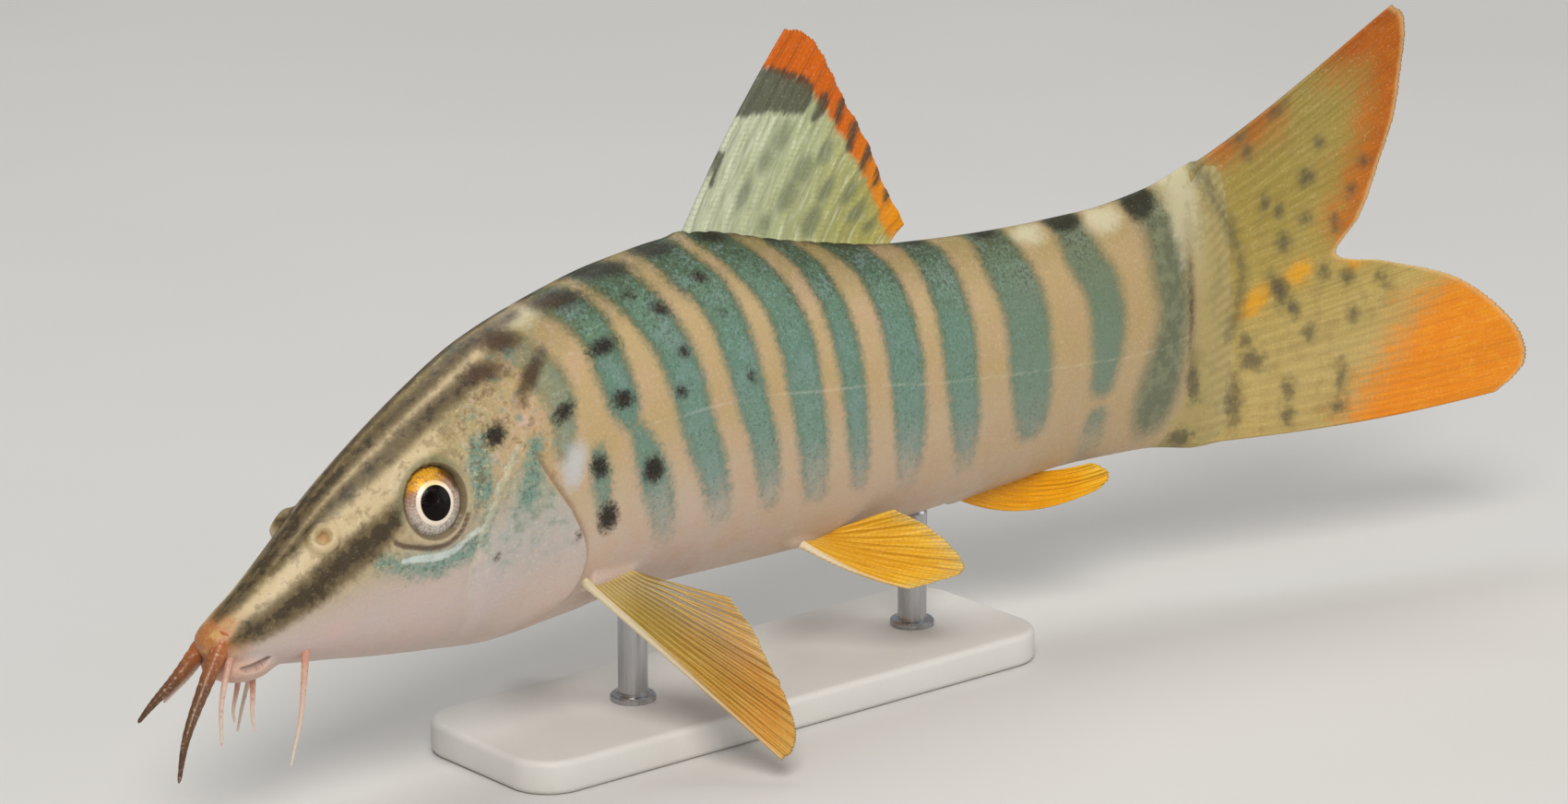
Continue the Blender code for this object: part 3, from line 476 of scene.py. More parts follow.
def eye_forms(points, field):
    """Adds the eyelid's ring and the fold below it, and opens the socket."""
    for side in (-1, 1):
        place = eye_frame(side)
        lid = place @ Matrix.Translation((0, 0, -LID_SUNK))
        field = blend_in(field, ring_field(points, lid, LID_RADIUS, LID_THICKNESS), 0.8)
        field = field + hump(fold_away(points, side), FOLD_HEIGHT, FOLD_HEIGHT)
        socket = place @ Matrix.Translation((0, 0, -EYE_SUNK))
        wide, deep = EYE_RADIUS + SOCKET_PLAY, EYE_HALF_DEPTH + SOCKET_DEEPER
        field = carve_out(field, pad_field(points, socket, (wide, wide, deep)), 0.12)
    return field


def sculpt(places, outward, start, forms, shallow=-1.6, proud=2.6):
    """How far each point moves along its outward line to reach the surface of the given forms."""
    reach = np.full(len(places), proud)
    for _ in range(SCULPT_STEPS):
        points = places + outward * reach[:, None]
        reach = np.clip(reach - SCULPT_STRIDE * forms(points, reach - start), shallow, proud)
    return reach


def marks_near(x, down, marks):
    """Millimetres inside the nearest long mark, negative outside."""
    best = np.full(x.shape, -FAR_OFF)
    for mark in marks:
        line = through(np.array(mark), np.linspace(0, 1, 4 * len(mark)))
        for a, b in zip(line, line[1:]):
            span = b[:2] - a[:2]
            t = np.clip(((x - a[0]) * span[0] + (down - a[1]) * span[1]) / (span @ span), 0, 1)
            gap = np.hypot(x - a[0] - t * span[0], down - a[1] - t * span[1])
            best = np.maximum(best, a[2] + (b[2] - a[2]) * t - gap)
    return best


def patches_near(x, down, patches):
    """Millimetres inside the nearest oval patch, negative outside."""
    best = np.full(x.shape, -FAR_OFF)
    for px, py, long, short, tilt in patches:
        ca, sa = math.cos(tilt), math.sin(tilt)
        dx, dy = x - px, down - py
        far = np.hypot((dx * ca + dy * sa) / long, (dy * ca - dx * sa) / short)
        best = np.maximum(best, (1 - far) * min(long, short))
    return best


def spread_out(stretches):
    """Places along the body, evenly spaced within each stretch."""
    places = [np.array([stretches[0][0]])]
    for (before, _), (after, count) in zip(stretches, stretches[1:]):
        places.append(np.linspace(before, after, count + 1)[1:])
    return np.concatenate(places)


def skin_grid():
    """Rings of points over the plain body, bowed at the gill covers, and how far down each point lies."""
    place = spread_out(SKIN_STRETCHES)[:, None]
    turn = np.linspace(-math.pi, math.pi, SKIN_TURNS + 1)[None, :]
    ahead = rising((place - BOW_FROM) / (GILL_X - BOW_FROM))
    behind = rising((BOW_TO - place) / (BOW_TO - GILL_X))
    x = place + np.minimum(ahead, behind) * gill_bow(turn)
    past = np.clip((place - TAIL_ROOT_X) / (SKIN_STRETCHES[-1][0] - TAIL_ROOT_X), 0, 1)
    shrink = (0.5 + 0.5 * np.cos(math.pi * past)) ** 1.1 + 0 * turn
    places = flank(x, turn, 0.0, shrink)
    level = 0.5 * (along(BACK, x) + along(BELLY, x))
    places[..., 2] = level + (places[..., 2] - level) * (1 - 0.05 * past**2)
    places[..., 1] = np.where(past >= 1, midline(x, places[..., 2]), places[..., 1])
    steps = np.linalg.norm(np.diff(places[..., 1:], axis=1), axis=-1)
    middle = SKIN_TURNS // 2
    down = np.zeros(x.shape)
    down[:, middle + 1:] = np.cumsum(steps[:, middle:], axis=1)
    down[:, :middle] = np.cumsum(steps[:, middle - 1::-1], axis=1)[:, ::-1]
    return place, x, turn + 0 * x, places, down


def outward_lines(places):
    """For each point of the rings, the direction straight out of the body."""
    lengthwise = np.gradient(places, axis=0)
    around = np.gradient(places, axis=1)
    around[:, 0] = around[:, -1] = places[:, 1] - places[:, -2]
    out = np.cross(lengthwise, around)
    out /= np.maximum(np.linalg.norm(out, axis=-1, keepdims=True), 1e-9)
    centre = places[:, :-1].mean(axis=1, keepdims=True)
    flip = np.sign(np.sum(out * (places - centre), axis=-1).mean())
    out *= flip
    out[0] = (-1.0, 0.0, 0.0)
    return out


def gill_relief(x, turn):
    """The skin's height at the gill cover, how far behind its edge and behind the cheek's crease each
    point lies, and the share of the relief that shows there."""
    side = np.abs(turn)
    on_side = rising((side - RELIEF_FROM) / RELIEF_SOFT) * rising((RELIEF_TO - side) / RELIEF_SOFT)
    behind = x - (GILL_X + gill_bow(turn))
    flare = hump(np.minimum(behind, 0), FLARE_WIDTH, GILL_FLARE) * (behind < 0)
    wall, dip = hump(behind, SLIT_WIDTH, GILL_FLARE), hump(behind - DIP_BEHIND, DIP_WIDTH, DIP_DEPTH)
    climb = np.maximum(0, (flank(x, side)[..., 2] - CREASE_LOW) / CREASE_TALL)
    past_crease = x - (CREASE_X + CREASE_LEAN * climb**CREASE_CURVE)
    ridge = hump(past_crease - RIDGE_BEHIND, RIDGE_WIDTH, RIDGE_HEIGHT)
    crease = ridge - hump(past_crease, GROOVE_WIDTH, GROOVE_DEPTH)
    return (flare + (behind >= 0) * (wall - dip) + crease) * on_side, behind, past_crease, on_side


# Fin outlines: where the fins leave the body, and the tips of their rays from the leading edge on
DORSAL_ROOT = (-6.6, 16.2)
DORSAL_TIPS = (
    (5.4, 59.7), (8.4, 58.6), (10.3, 55.8), (12.5, 52.1), (14.8, 47.9), (16.9, 43.6), (18.6, 40.3),
)
DORSAL_FORWARD, DORSAL_BOW, DORSAL_FLUTTER = np.array((-0.6, 0.8)), 0.6, (0.5, 3.0, 0.6)
CAUDAL_ROOT = (40.9, 14.5)
CAUDAL_TIPS = (
    (76.4, 53.0), (77.6, 52.0), (77.6, 49.4), (77.0, 46.4), (75.4, 42.0), (73.2, 37.6), (70.6, 33.8),
    (67.9, 30.6), (72.5, 29.5), (77.0, 28.3), (81.2, 26.6), (84.8, 24.0), (87.2, 20.8), (87.6, 18.0),
    (84.3, 15.5),
)
CAUDAL_SAG, CAUDAL_FLUTTER = 0.6, (0.45, 7.0, 0.4)
ANAL_ROOT = (23.9, 32.4)
ANAL_TIPS = ((39.4, 12.8), (40.4, 13.4), (40.5, 14.2), (39.6, 14.9), (38.4, 15.4))
ANAL_LEAN, ANAL_SAG = -2.6, 2.0
PECTORAL_ROOT = ((-22.3, math.radians(127)), (-16.6, math.radians(138)))
PECTORAL_TIPS = (
    (-10.6, -18.6, 2.0), (-9.3, -18.8, 3.4), (-9.2, -18.3, 5.5), (-9.7, -17.5, 7.8),
    (-10.4, -16.6, 10.1), (-11.0, -15.2, 12.8), (-11.9, -13.2, 15.5),
)
RIGHT_PECTORAL_LIFT = 3.5
PELVIC_ROOT = ((2.4, math.radians(150)), (5.9, math.radians(158)))
PELVIC_TIPS = (
    (11.7, -9.0, 10.2), (14.9, -9.8, 10.5), (17.2, -10.2, 11.1),
    (16.6, -9.5, 13.0), (14.4, -8.4, 15.3), (11.5, -7.2, 17.2),
)
PELVIC_SAG = 0.6
FIN_ROOT_DEPTH = 0.5

# How a fin is made: rays, grid columns from ray to ray and rows, thickness of ray and web at root and hem,
# how much thicker the first ray and the root are, where along a ray it parts first and a second time, and
# how deep the pleats between the rays are at the hem
FinMake = namedtuple(
    "FinMake", "rays columns rows ray_root ray_tip web_root web_tip lead root fork_one fork_two pleat")
DORSAL_MAKE = FinMake(12, 16, 96, 0.62, 0.15, 0.34, 0.08, 0.35, 0.7, 0.34, 0.66, 0.10)
CAUDAL_MAKE = FinMake(27, 10, 110, 0.60, 0.11, 0.5, 0.08, 0.2, 0.9, 0.30, 0.60, 0.03)
ANAL_MAKE = FinMake(9, 14, 72, 0.6, 0.14, 0.34, 0.08, 0.25, 0.6, 0.36, 0.68, 0.10)
PECTORAL_MAKE = FinMake(14, 14, 96, 0.56, 0.13, 0.28, 0.07, 0.4, 0.6, 0.36, 0.68, 0.10)
PELVIC_MAKE = FinMake(10, 14, 80, 0.6, 0.13, 0.3, 0.07, 0.45, 0.6, 0.34, 0.66, 0.10)
HEM_NOTCH = 0.012
# The two partings of a ray: how far the twigs move apart, over what part of its length, and how unevenly
FORK_SPREADS, FORK_LENGTHS, FORK_UNEVEN = (0.25, 0.118), (0.32, 0.28), (0.06, 4.7, 1.3)
# A soft ripple of the whole fin from ray to ray, and the millimetres over which it grows from the edges
FIN_RIPPLE, STILL_EDGE = (0.16, 1.7, 2.0), 1.5
# A ray's half width at root and hem in steps from ray to ray, and how wide the first ray's edge and how
# long the thicker root are
RAY_WIDE_ROOT, RAY_WIDE_HEM = 0.22, 0.075
LEAD_WIDTH, ROOT_LENGTH = 0.55, 1.6
# How far a fin starts inside the body, as a part of its rays' length
FIN_START = 0.03

# Marks of the dorsal and tail fins, written as those of the skin are but with z in place of the way down
DORSAL_DARKS = (
    ((-1.0, 54.6, 1.9), (3.4, 54.5, 1.95), (6.9, 53.6, 1.6)),
    ((-3.2, 47.4, 0.35), (-2.3, 49.6, 0.45)),
    ((8.6, 51.4, 0.5), (9.7, 52.6, 0.7)),
    ((11.2, 50.7, 0.35), (11.9, 52.0, 0.5)),
    ((12.4, 48.3, 0.45), (13.3, 49.9, 0.5)),
    ((13.9, 46.2, 0.4), (14.8, 47.6, 0.55)),
    ((15.4, 44.6, 0.3), (16.3, 46.0, 0.4)),
    ((16.6, 42.8, 0.25), (17.2, 43.9, 0.35)),
)
DORSAL_SMUDGES = (
    (4.5, 50.0, 1.5, 0.7, 0.9), (7.1, 46.9, 1.4, 0.8, 0.8), (12.3, 44.0, 1.0, 0.6, 0.7),
    (13.3, 42.3, 1.1, 0.6, 0.5), (14.5, 40.8, 0.9, 0.5, 0.3), (5.5, 45.1, 1.5, 0.8, 0.9),
    (7.8, 42.3, 1.5, 0.9, 0.8), (0.4, 45.9, 1.3, 0.6, 1.0), (9.7, 48.1, 1.2, 0.7, 0.8),
    (3.0, 48.4, 1.2, 0.6, 1.0), (9.6, 44.8, 1.2, 0.7, 0.7), (2.6, 43.0, 0.9, 0.5, 0.9),
)
DORSAL_GLOWS = (
    ((2.6, 58.9, 2.4), (6.0, 58.2, 2.9), (9.7, 55.8, 2.6), (12.4, 52.0, 2.1), (14.6, 48.2, 1.9),
     (16.6, 44.4, 1.7), (17.9, 40.9, 1.6)),
)
CAUDAL_DARKS = (
    ((51.4, 41.8, 0.8), (53.4, 38.1, 0.5), (56.0, 34.2, 0.5), (57.2, 30.6, 0.4), (56.4, 26.4, 0.55),
     (55.6, 24.6, 0.5)),
    ((60.6, 29.4, 0.4), (61.6, 27.2, 0.75)),
)
CAUDAL_SPOTS = (
    (58.1, 41.3, 0.7, 0.7, 0.0), (65.0, 38.0, 0.9, 0.9, 0.0), (61.6, 35.4, 0.6, 0.6, 0.0),
    (64.7, 34.2, 0.6, 0.5, 0.0), (62.0, 32.4, 0.8, 0.9, 0.0), (60.0, 36.3, 0.5, 0.7, 0.0),
    (67.8, 33.6, 0.6, 0.7, 0.0), (70.1, 36.3, 0.5, 0.6, 0.0), (71.8, 38.7, 0.5, 0.5, 0.0),
    (68.6, 28.4, 0.7, 0.8, 0.0), (72.3, 27.8, 0.6, 0.6, 0.0), (62.6, 26.0, 0.8, 0.8, 0.0),
    (64.2, 23.6, 0.6, 0.8, 0.0), (69.0, 24.8, 0.6, 0.7, 0.0), (58.0, 21.8, 1.4, 1.0, -0.3),
    (55.9, 18.1, 0.9, 2.3, 0.0), (61.8, 18.4, 0.6, 1.0, 0.0), (61.6, 16.1, 0.6, 0.9, 0.0),
    (66.9, 16.3, 0.9, 0.7, 0.0), (67.4, 18.9, 0.45, 1.3, 0.0), (66.1, 29.2, 0.7, 0.7, 0.0),
    (62.1, 44.8, 0.9, 0.5, 0.5), (57.2, 42.9, 1.0, 0.5, 0.5), (66.9, 41.0, 0.5, 0.5, 0.0),
    (49.8, 15.6, 1.3, 0.9, 0.0), (50.6, 20.6, 0.7, 1.5, 0.1), (61.2, 28.1, 0.8, 0.8, 0.0),
    (72.8, 27.2, 0.4, 0.4, 0.0), (57.4, 23.6, 0.8, 0.6, 0.4),
)
CAUDAL_GLOWS = (
    ((69.0, 48.8, 0.6), (72.0, 49.8, 2.6), (75.2, 51.2, 3.6), (76.6, 46.6, 3.6), (74.6, 41.6, 2.7),
     (71.6, 36.9, 1.7), (69.0, 33.0, 1.0)),
    ((84.6, 22.6, 6.6), (80.4, 19.4, 6.4), (74.6, 15.8, 4.2), (70.4, 14.8, 1.8)),
    ((54.9, 42.3, 0.4), (56.0, 42.8, 0.5)),
    ((58.9, 43.7, 0.6), (60.9, 44.6, 0.6)),
)
CAUDAL_GOLDS = (
    (58.7, 27.3, 1.9, 1.0, 0.5), (63.3, 29.3, 1.5, 0.8, 0.35), (69.2, 29.6, 0.6, 0.4, 0.0),
)


def bow(reach):
    """Rises from 0 at a ray's root to 1 halfway and back to 0 at its tip."""
    return 4 * np.maximum(0, reach * (1 - reach))


def between(first, last, share):
    """The value or point this share of the way from first to last."""
    return first + (last - first) * share


def dorsal_ray(across, reach):
    """Points of the dorsal fin, across from its first ray to its last and reach from root to tip."""
    root_x = between(*DORSAL_ROOT, across)
    root = np.stack([root_x, along(BACK, root_x) - FIN_ROOT_DEPTH], -1)
    place = between(root, through(DORSAL_TIPS, across), reach[..., None])
    place = place + DORSAL_FORWARD * (DORSAL_BOW * (1 - across) * bow(reach))[..., None]
    flutter = ripple(across, *DORSAL_FLUTTER) * np.maximum(0, reach) ** 2
    return np.stack([place[..., 0], midline(place[..., 0], place[..., 1]) + flutter, place[..., 1]], -1)


def caudal_ray(across, reach):
    """Points of the tail fin, across from its upper ray to its lower and reach from root to tip."""
    root = np.stack([np.full(across.shape, TAIL_ROOT_X), between(*CAUDAL_ROOT, across)], -1)
    place = between(root, through(CAUDAL_TIPS, across), reach[..., None])
    place[..., 1] -= CAUDAL_SAG * np.abs(1 - 2 * across) * bow(reach)
    flutter = ripple(across, *CAUDAL_FLUTTER) * np.maximum(0, reach) ** 2
    return np.stack([place[..., 0], midline(place[..., 0], place[..., 1]) + flutter, place[..., 1]], -1)


def caudal_across(x, z):
    """Which caudal ray runs through a place near the fin's root, from 0 at the top to 1 below."""
    across = np.clip((CAUDAL_ROOT[0] - z) / (CAUDAL_ROOT[0] - CAUDAL_ROOT[1]), 0, 1)
    tip = through(CAUDAL_TIPS, across)
    reach = np.maximum(0, x - TAIL_ROOT_X) / (tip[..., 0] - TAIL_ROOT_X)
    back_z = z - reach * (tip[..., 1] - between(*CAUDAL_ROOT, across))
    return np.clip((CAUDAL_ROOT[0] - back_z) / (CAUDAL_ROOT[0] - CAUDAL_ROOT[1]), 0, 1)


def anal_ray(across, reach):
    """Points of the anal fin, across from its first ray to its last and reach from root to tip."""
    root_x = between(*ANAL_ROOT, across)
    root = np.stack([root_x, along(BELLY, root_x) + FIN_ROOT_DEPTH], -1)
    place = between(root, through(ANAL_TIPS, across), reach[..., None])
    place[..., 1] -= ANAL_SAG * (1 - 0.8 * across) * bow(reach)
    lean = ANAL_LEAN * np.maximum(0, reach) ** 1.5
    return np.stack([place[..., 0], midline(place[..., 0]) + lean, place[..., 1]], -1)


def paired_ray(root_ends, tips, sag, side, lift=0.0):
    """Rays of a paired fin, sized for the left side. Side 1 is the right one, its tips lifted."""

    def ray(across, reach):
        (first_x, first_turn), (last_x, last_turn) = root_ends
        turn = between(first_turn, last_turn, across)
        root = flank(between(first_x, last_x, across), turn, -FIN_ROOT_DEPTH)
        place = between(root, through(tips, across), reach[..., None])
        place[..., 2] -= sag * (1 - across) * bow(reach)
        if side > 0:
            place[..., 1] = 2 * midline(place[..., 0]) - place[..., 1]
            place[..., 2] += lift * np.maximum(0, reach)
        return place

    return ray


def pectoral_ray(side):
    """Rays of the pectoral fin on one side."""
    return paired_ray(PECTORAL_ROOT, PECTORAL_TIPS, 0.0, side, RIGHT_PECTORAL_LIFT)


def pelvic_ray(side):
    """Rays of the pelvic fin on one side."""
    return paired_ray(PELVIC_ROOT, PELVIC_TIPS, PELVIC_SAG, side)


def fleshy_root(points, field, ray, reach, widths, soft):
    """Adds a swelling along the line where a fin leaves the body."""
    across = np.linspace(0, 1, 9)
    line = ray(across, np.full(9, reach))
    return blend_in(field, rope_field(points, line, np.linspace(*widths, 9)), soft)


def root_forms(points, field):
    """Adds the fleshy roots of the fins to the distance field of the plain skin."""
    field = fleshy_root(points, field, dorsal_ray, 0.0, (0.75, 0.5), 0.9)
    field = fleshy_root(points, field, anal_ray, 0.02, (0.75, 0.45), 0.8)
    for side in (-1, 1):
        field = fleshy_root(points, field, pectoral_ray(side), 0.03, (0.6, 0.5), 0.9)
        field = fleshy_root(points, field, pelvic_ray(side), 0.03, (0.55, 0.45), 0.8)
    return field


# Where the rings of the skin are shaped by further forms
FORM_ZONES = ((-99.0, -43.6, head_forms), (-43.6, -31.0, eye_forms), (-26.5, 36.0, root_forms))


def make_skin():
    """One closed skin for head, body and the root of the tail, with the marks as values on its points."""
    obj, column, row = flat_grid("loach_skin", SKIN_TURNS, len(spread_out(SKIN_STRETCHES)) - 1)
    place, x, turn, places, down = skin_grid()
    outward = outward_lines(places)
    lift, behind_gill, behind_cheek, on_side = gill_relief(x, turn)
    for first, last, forms in FORM_ZONES:
        rows = np.nonzero((place[:, 0] >= first) & (place[:, 0] <= last))[0]
        chosen = slice(rows[0], rows[-1] + 1)
        flat_places, flat_out = places[chosen].reshape(-1, 3), outward[chosen].reshape(-1, 3)
        lift[chosen] = sculpt(flat_places, flat_out, lift[chosen].ravel(), forms).reshape(x[chosen].shape)
    lift[0] = lift[1].min()
    lift[-1] = 0
    places = places + outward * lift[..., None]
    places[0] = places[0].mean(axis=0)
    places[-1, :, 1] = midline(places[-1, :, 0], places[-1, :, 2])
    right = turn < 0
    mark_x = x + right * ripple(x, *RIGHT_SHIFT_X)
    mark_down = down + right * ripple(x, *RIGHT_SHIFT_DOWN)
    points = places.reshape(-1, 3)
    eye_far, fold, nostril = (np.full(len(points), FAR_OFF) for _ in range(3))
    for side in (-1, 1):
        eye_far = np.minimum(eye_far, eye_away(eye_places(points, side)))
        fold = np.minimum(fold, fold_away(points, side))
        local = local_places(points, flank_frame(NOSTRIL_X, -side * NOSTRIL_TURN))
        nostril = np.minimum(nostril, np.linalg.norm(local, axis=1))
    values = {
        "bar": marks_near(mark_x, mark_down, BARS),
        "shade": patches_near(mark_x, mark_down, SHADES),
        "spot": patches_near(mark_x, mark_down, SPOTS),
        "dark": marks_near(x, down, HEAD_DARKS),
        "cream": marks_near(x, down, HEAD_CREAMS),
        "patch": patches_near(x, down, CREAM_PATCHES),
        "teal": marks_near(x, down, HEAD_TEALS),
        "line": marks_near(x, down, PALE_LINES),
        "height": (places[..., 2] - along(BELLY, x)) / (along(BACK, x) - along(BELLY, x)),
        "behind_gill": np.where(on_side > 0.3, behind_gill, FAR_OFF),
        "behind_cheek": behind_cheek,
        "eye_far": eye_far,
        "lip_far": mouth_swell(points),
        "slit_far": mouth_gap(points),
        "fold": fold,
        "nostril": nostril,
        "tail_ray": caudal_across(x, places[..., 2]) * (CAUDAL_MAKE.rays - 1),
        "tail_dark": marks_near(x, places[..., 2], CAUDAL_DARKS),
        "tail_spot": patches_near(x, places[..., 2], CAUDAL_SPOTS),
    }
    tables = {name: np.reshape(table, x.shape) for name, table in values.items()}
    return shape_grid(obj, column, row, places, tables)


def twig_gap(phase, share, make):
    """How far each place of a fin lies from the middle of the nearest twig, in steps from ray to ray."""
    nearest = np.rint(phase)
    past = share - ripple(nearest, *FORK_UNEVEN)
    gap = np.abs(phase - nearest)
    for fork, spread, length in zip((make.fork_one, make.fork_two), FORK_SPREADS, FORK_LENGTHS):
        gap = np.abs(gap - spread * rising((past - fork) / length))
    return gap


def make_fin(name, make, ray, marks=None):
    """A thin closed sheet whose rays stand up on both faces and branch towards the hem."""
    span = (make.rays - 1) * make.columns
    obj, column, row = flat_grid(name, 2 * span, make.rows)
    step = np.arange(2 * span + 1)
    across = np.tile(np.minimum(step, 2 * span - step) / span, (make.rows + 1, 1))
    face = np.where(step <= span, 1.0, -1.0)
    share = np.tile(np.linspace(0, 1, make.rows + 1)[:, None], (1, 2 * span + 1))
    phase = across * (make.rays - 1)
    twig = twig_gap(phase, share, make)
    ridge = hump(twig, between(RAY_WIDE_ROOT, RAY_WIDE_HEM, rising(share)))
    ragged = 0.5 + 0.5 * np.sin(31.0 * across + 3.0 * np.sin(11.0 * across))
    notch = HEM_NOTCH * (0.6 * np.minimum(1, twig / 0.125) + 0.6 * ragged)
    reach = -FIN_START + share * (1 + FIN_START - notch * share**3)
    sheet = ray(across, reach)
    whole_ray = ray(across, np.ones(across.shape)) - ray(across, np.zeros(across.shape))
    length = np.linalg.norm(whole_ray, axis=-1)
    width = np.linalg.norm(np.diff(sheet[:, :span + 1], axis=1), axis=-1).sum(axis=1)[:, None]
    from_first = across * width
    lead = hump(from_first, LEAD_WIDTH) * (1 - 0.7 * share)
    root = hump(share * length, ROOT_LENGTH)
    thick = between(make.web_root, make.web_tip, share)
    thick = thick + ridge * between(make.ray_root - make.web_root, make.ray_tip - make.web_tip, share)
    thick = thick + make.lead * lead + make.root * root
    edge = np.minimum(across, 1 - across) * width
    thick = thick * np.sqrt(1 - (1 - np.clip(edge / np.maximum(0.45 * thick, 1e-6), 0, 1)) ** 2)
    thick[0], thick[-1] = 0, 0
    out = np.cross(np.gradient(sheet[:, :span + 1], axis=1), np.gradient(sheet[:, :span + 1], axis=0))
    out /= np.maximum(np.linalg.norm(out, axis=-1, keepdims=True), 1e-9)
    out = np.concatenate([out, out[:, -2::-1]], axis=1)
    wave = ripple(phase, make.pleat, 2 * math.pi) * share + ripple(phase, *FIN_RIPPLE) * share**2
    wave = wave * np.minimum(1, edge / STILL_EDGE)
    places = sheet + out * (0.5 * face * thick + wave)[..., None]
    values = {"across": across, "reach": share, "ridge": ridge, "run": length * share, "lead": from_first,
              "hem": (1 - share) * length}
    for word, (shape, table) in (marks or {}).items():
        values[word] = shape(sheet[..., 0], sheet[..., 2], table)
    return shape_grid(obj, column, row, places, values, 0.003)


# Each barbel: its points as x, distance from the middle plane and z, then its width at root and tip
BARBELS = {
    "rostral_barbel_upper_left": (
        ((-55.6, -1.0, 19.0), (-58.1, -1.7, 16.1), (-60.8, -2.6, 12.4), (-62.5, -3.2, 8.7)), 1.9, 0.3),
    "rostral_barbel_upper_right": (
        ((-55.6, 0.9, 18.9), (-58.6, 1.5, 15.8), (-60.7, 2.1, 13.8), (-62.4, 2.6, 12.2)), 1.7, 0.3),
    "rostral_barbel_lower_left": (
        ((-55.4, -1.5, 18.2), (-56.9, -2.2, 14.8), (-57.6, -2.6, 10.4)), 0.8, 0.22),
    "rostral_barbel_lower_right": (
        ((-55.4, 1.4, 18.0), (-57.9, 1.9, 15.1), (-60.0, 2.2, 13.4)), 1.2, 0.26),
    "maxillary_barbel_left": (
        ((-48.6, -2.7, 18.0), (-49.8, -3.7, 14.2), (-50.5, -4.1, 11.0), (-51.8, -4.2, 7.6)), 0.75, 0.2),
    "maxillary_barbel_right": (
        ((-48.6, 2.7, 18.0), (-49.6, 3.7, 14.2), (-50.1, 4.2, 11.2), (-51.0, 4.5, 8.0)), 0.75, 0.2),
    "mandibular_barbel_left": (
        ((-53.0, -0.9, 15.0), (-53.2, -1.1, 12.4), (-53.1, -1.2, 10.1)), 0.6, 0.2),
    "mandibular_barbel_right": (
        ((-53.0, 0.9, 15.0), (-53.4, 1.1, 12.4), (-53.5, 1.3, 10.3)), 0.6, 0.2),
}
BARBEL_TURNS, BARBEL_ROWS = 24, 84
# The ripples that ring a barbel and make it sway, and its rounded tip as a part of its length
BARBEL_RINGS, BARBEL_SWAY, BARBEL_TIP = (0.03, 95), (0.14, 7), 0.03


def tube_places(route, radii, turns):
    """Rings of points round a route."""
    forward = np.gradient(route, axis=0)
    forward /= np.linalg.norm(forward, axis=1, keepdims=True)
    sideways = np.cross(forward, (0.0, 1.0, 0.0))
    sideways /= np.linalg.norm(sideways, axis=1, keepdims=True)
    upward = np.cross(sideways, forward)
    angle = np.linspace(0, 2 * math.pi, turns + 1)[None, :, None]
    circle = np.cos(angle) * sideways[:, None] + np.sin(angle) * upward[:, None]
    return route[:, None] + circle * radii[:, None, None]


def make_barbel(name):
    """A soft tapering feeler with faint rings, drawn to a point."""
    route, root_width, tip_width = BARBELS[name]
    obj, column, row = flat_grid(name + "_soft", BARBEL_TURNS, BARBEL_ROWS)
    share = np.linspace(0, 1, BARBEL_ROWS + 1)
    radii = between(root_width, tip_width, share**0.8) / 2
    rounded = np.sqrt(np.clip((1 - share) / BARBEL_TIP, 0, 1))
    radii = radii * (1 + ripple(share, *BARBEL_RINGS)) * rounded
    radii[0] = 0
    line = through([from_middle(*point) for point in route], share)
    line[:, 0] += ripple(share, *BARBEL_SWAY) * share
    places = tube_places(line, radii, BARBEL_TURNS)
    values = {"reach": np.tile(share[:, None], (1, BARBEL_TURNS + 1))}
    return shape_grid(obj, column, row, places, values)


def make_eye(name, side):
    """The eyeball, a flattened ball with its front bulged, and for each point its place across the eye."""
    obj, column, row = flat_grid(name + "ball", EYE_TURNS, EYE_ROWS)
    angle = np.linspace(0, 2 * math.pi, EYE_TURNS + 1)[None, :]
    polar = np.linspace(0, math.pi, EYE_ROWS + 1)[:, None]
    bulge = hump(polar, EYE_BULGE_WIDTH, EYE_BULGE)
    local = np.stack([
        EYE_RADIUS * np.sin(polar) * np.cos(angle),
        EYE_RADIUS * np.sin(polar) * np.sin(angle),
        (EYE_HALF_DEPTH + bulge) * np.cos(polar) + 0 * angle,
    ], -1)
    placed = np.array(eye_frame(side) @ Matrix.Translation((0, 0, -EYE_SUNK)))
    places = local @ placed[:3, :3].T + placed[:3, 3]
    values = {"eye_x": local[..., 0], "eye_y": -side * local[..., 1]}
    return shape_grid(obj, column, row, places, values)


# The stand: its plate with round corners and a soft rim, and where along the body the rods stand
BASE_LENGTH, BASE_WIDTH, BASE_HEIGHT, BASE_CORNER, BASE_RIM = 58.0, 18.0, 3.0, 4.0, 0.6
CORNER_SEGMENTS, RIM_SEGMENTS, RIM_ANGLE = 14, 4, math.radians(60)
RODS = {"stand_rod_front": -12.0, "stand_rod_rear": 20.0}
ROD_RADIUS, ROD_TURNS, ROD_SUNK = 1.3, 48, 0.35
# A rod's outline: radius and height over the plate, then radius and how far below the rod's top
ROD_COLLAR = ((0.0, 0.0), (2.0, 0.0), (2.0, 0.4), (1.85, 0.55), (1.5, 0.6), (ROD_RADIUS, 0.8))
ROD_END = ((ROD_RADIUS, 0.9), (ROD_RADIUS - 0.02, 0.4), (ROD_RADIUS - 0.15, 0.1), (0.0, 0.0))
# Edges sharper than this stay sharp where a piece is smoothed
SHARP_ANGLE = math.radians(35)


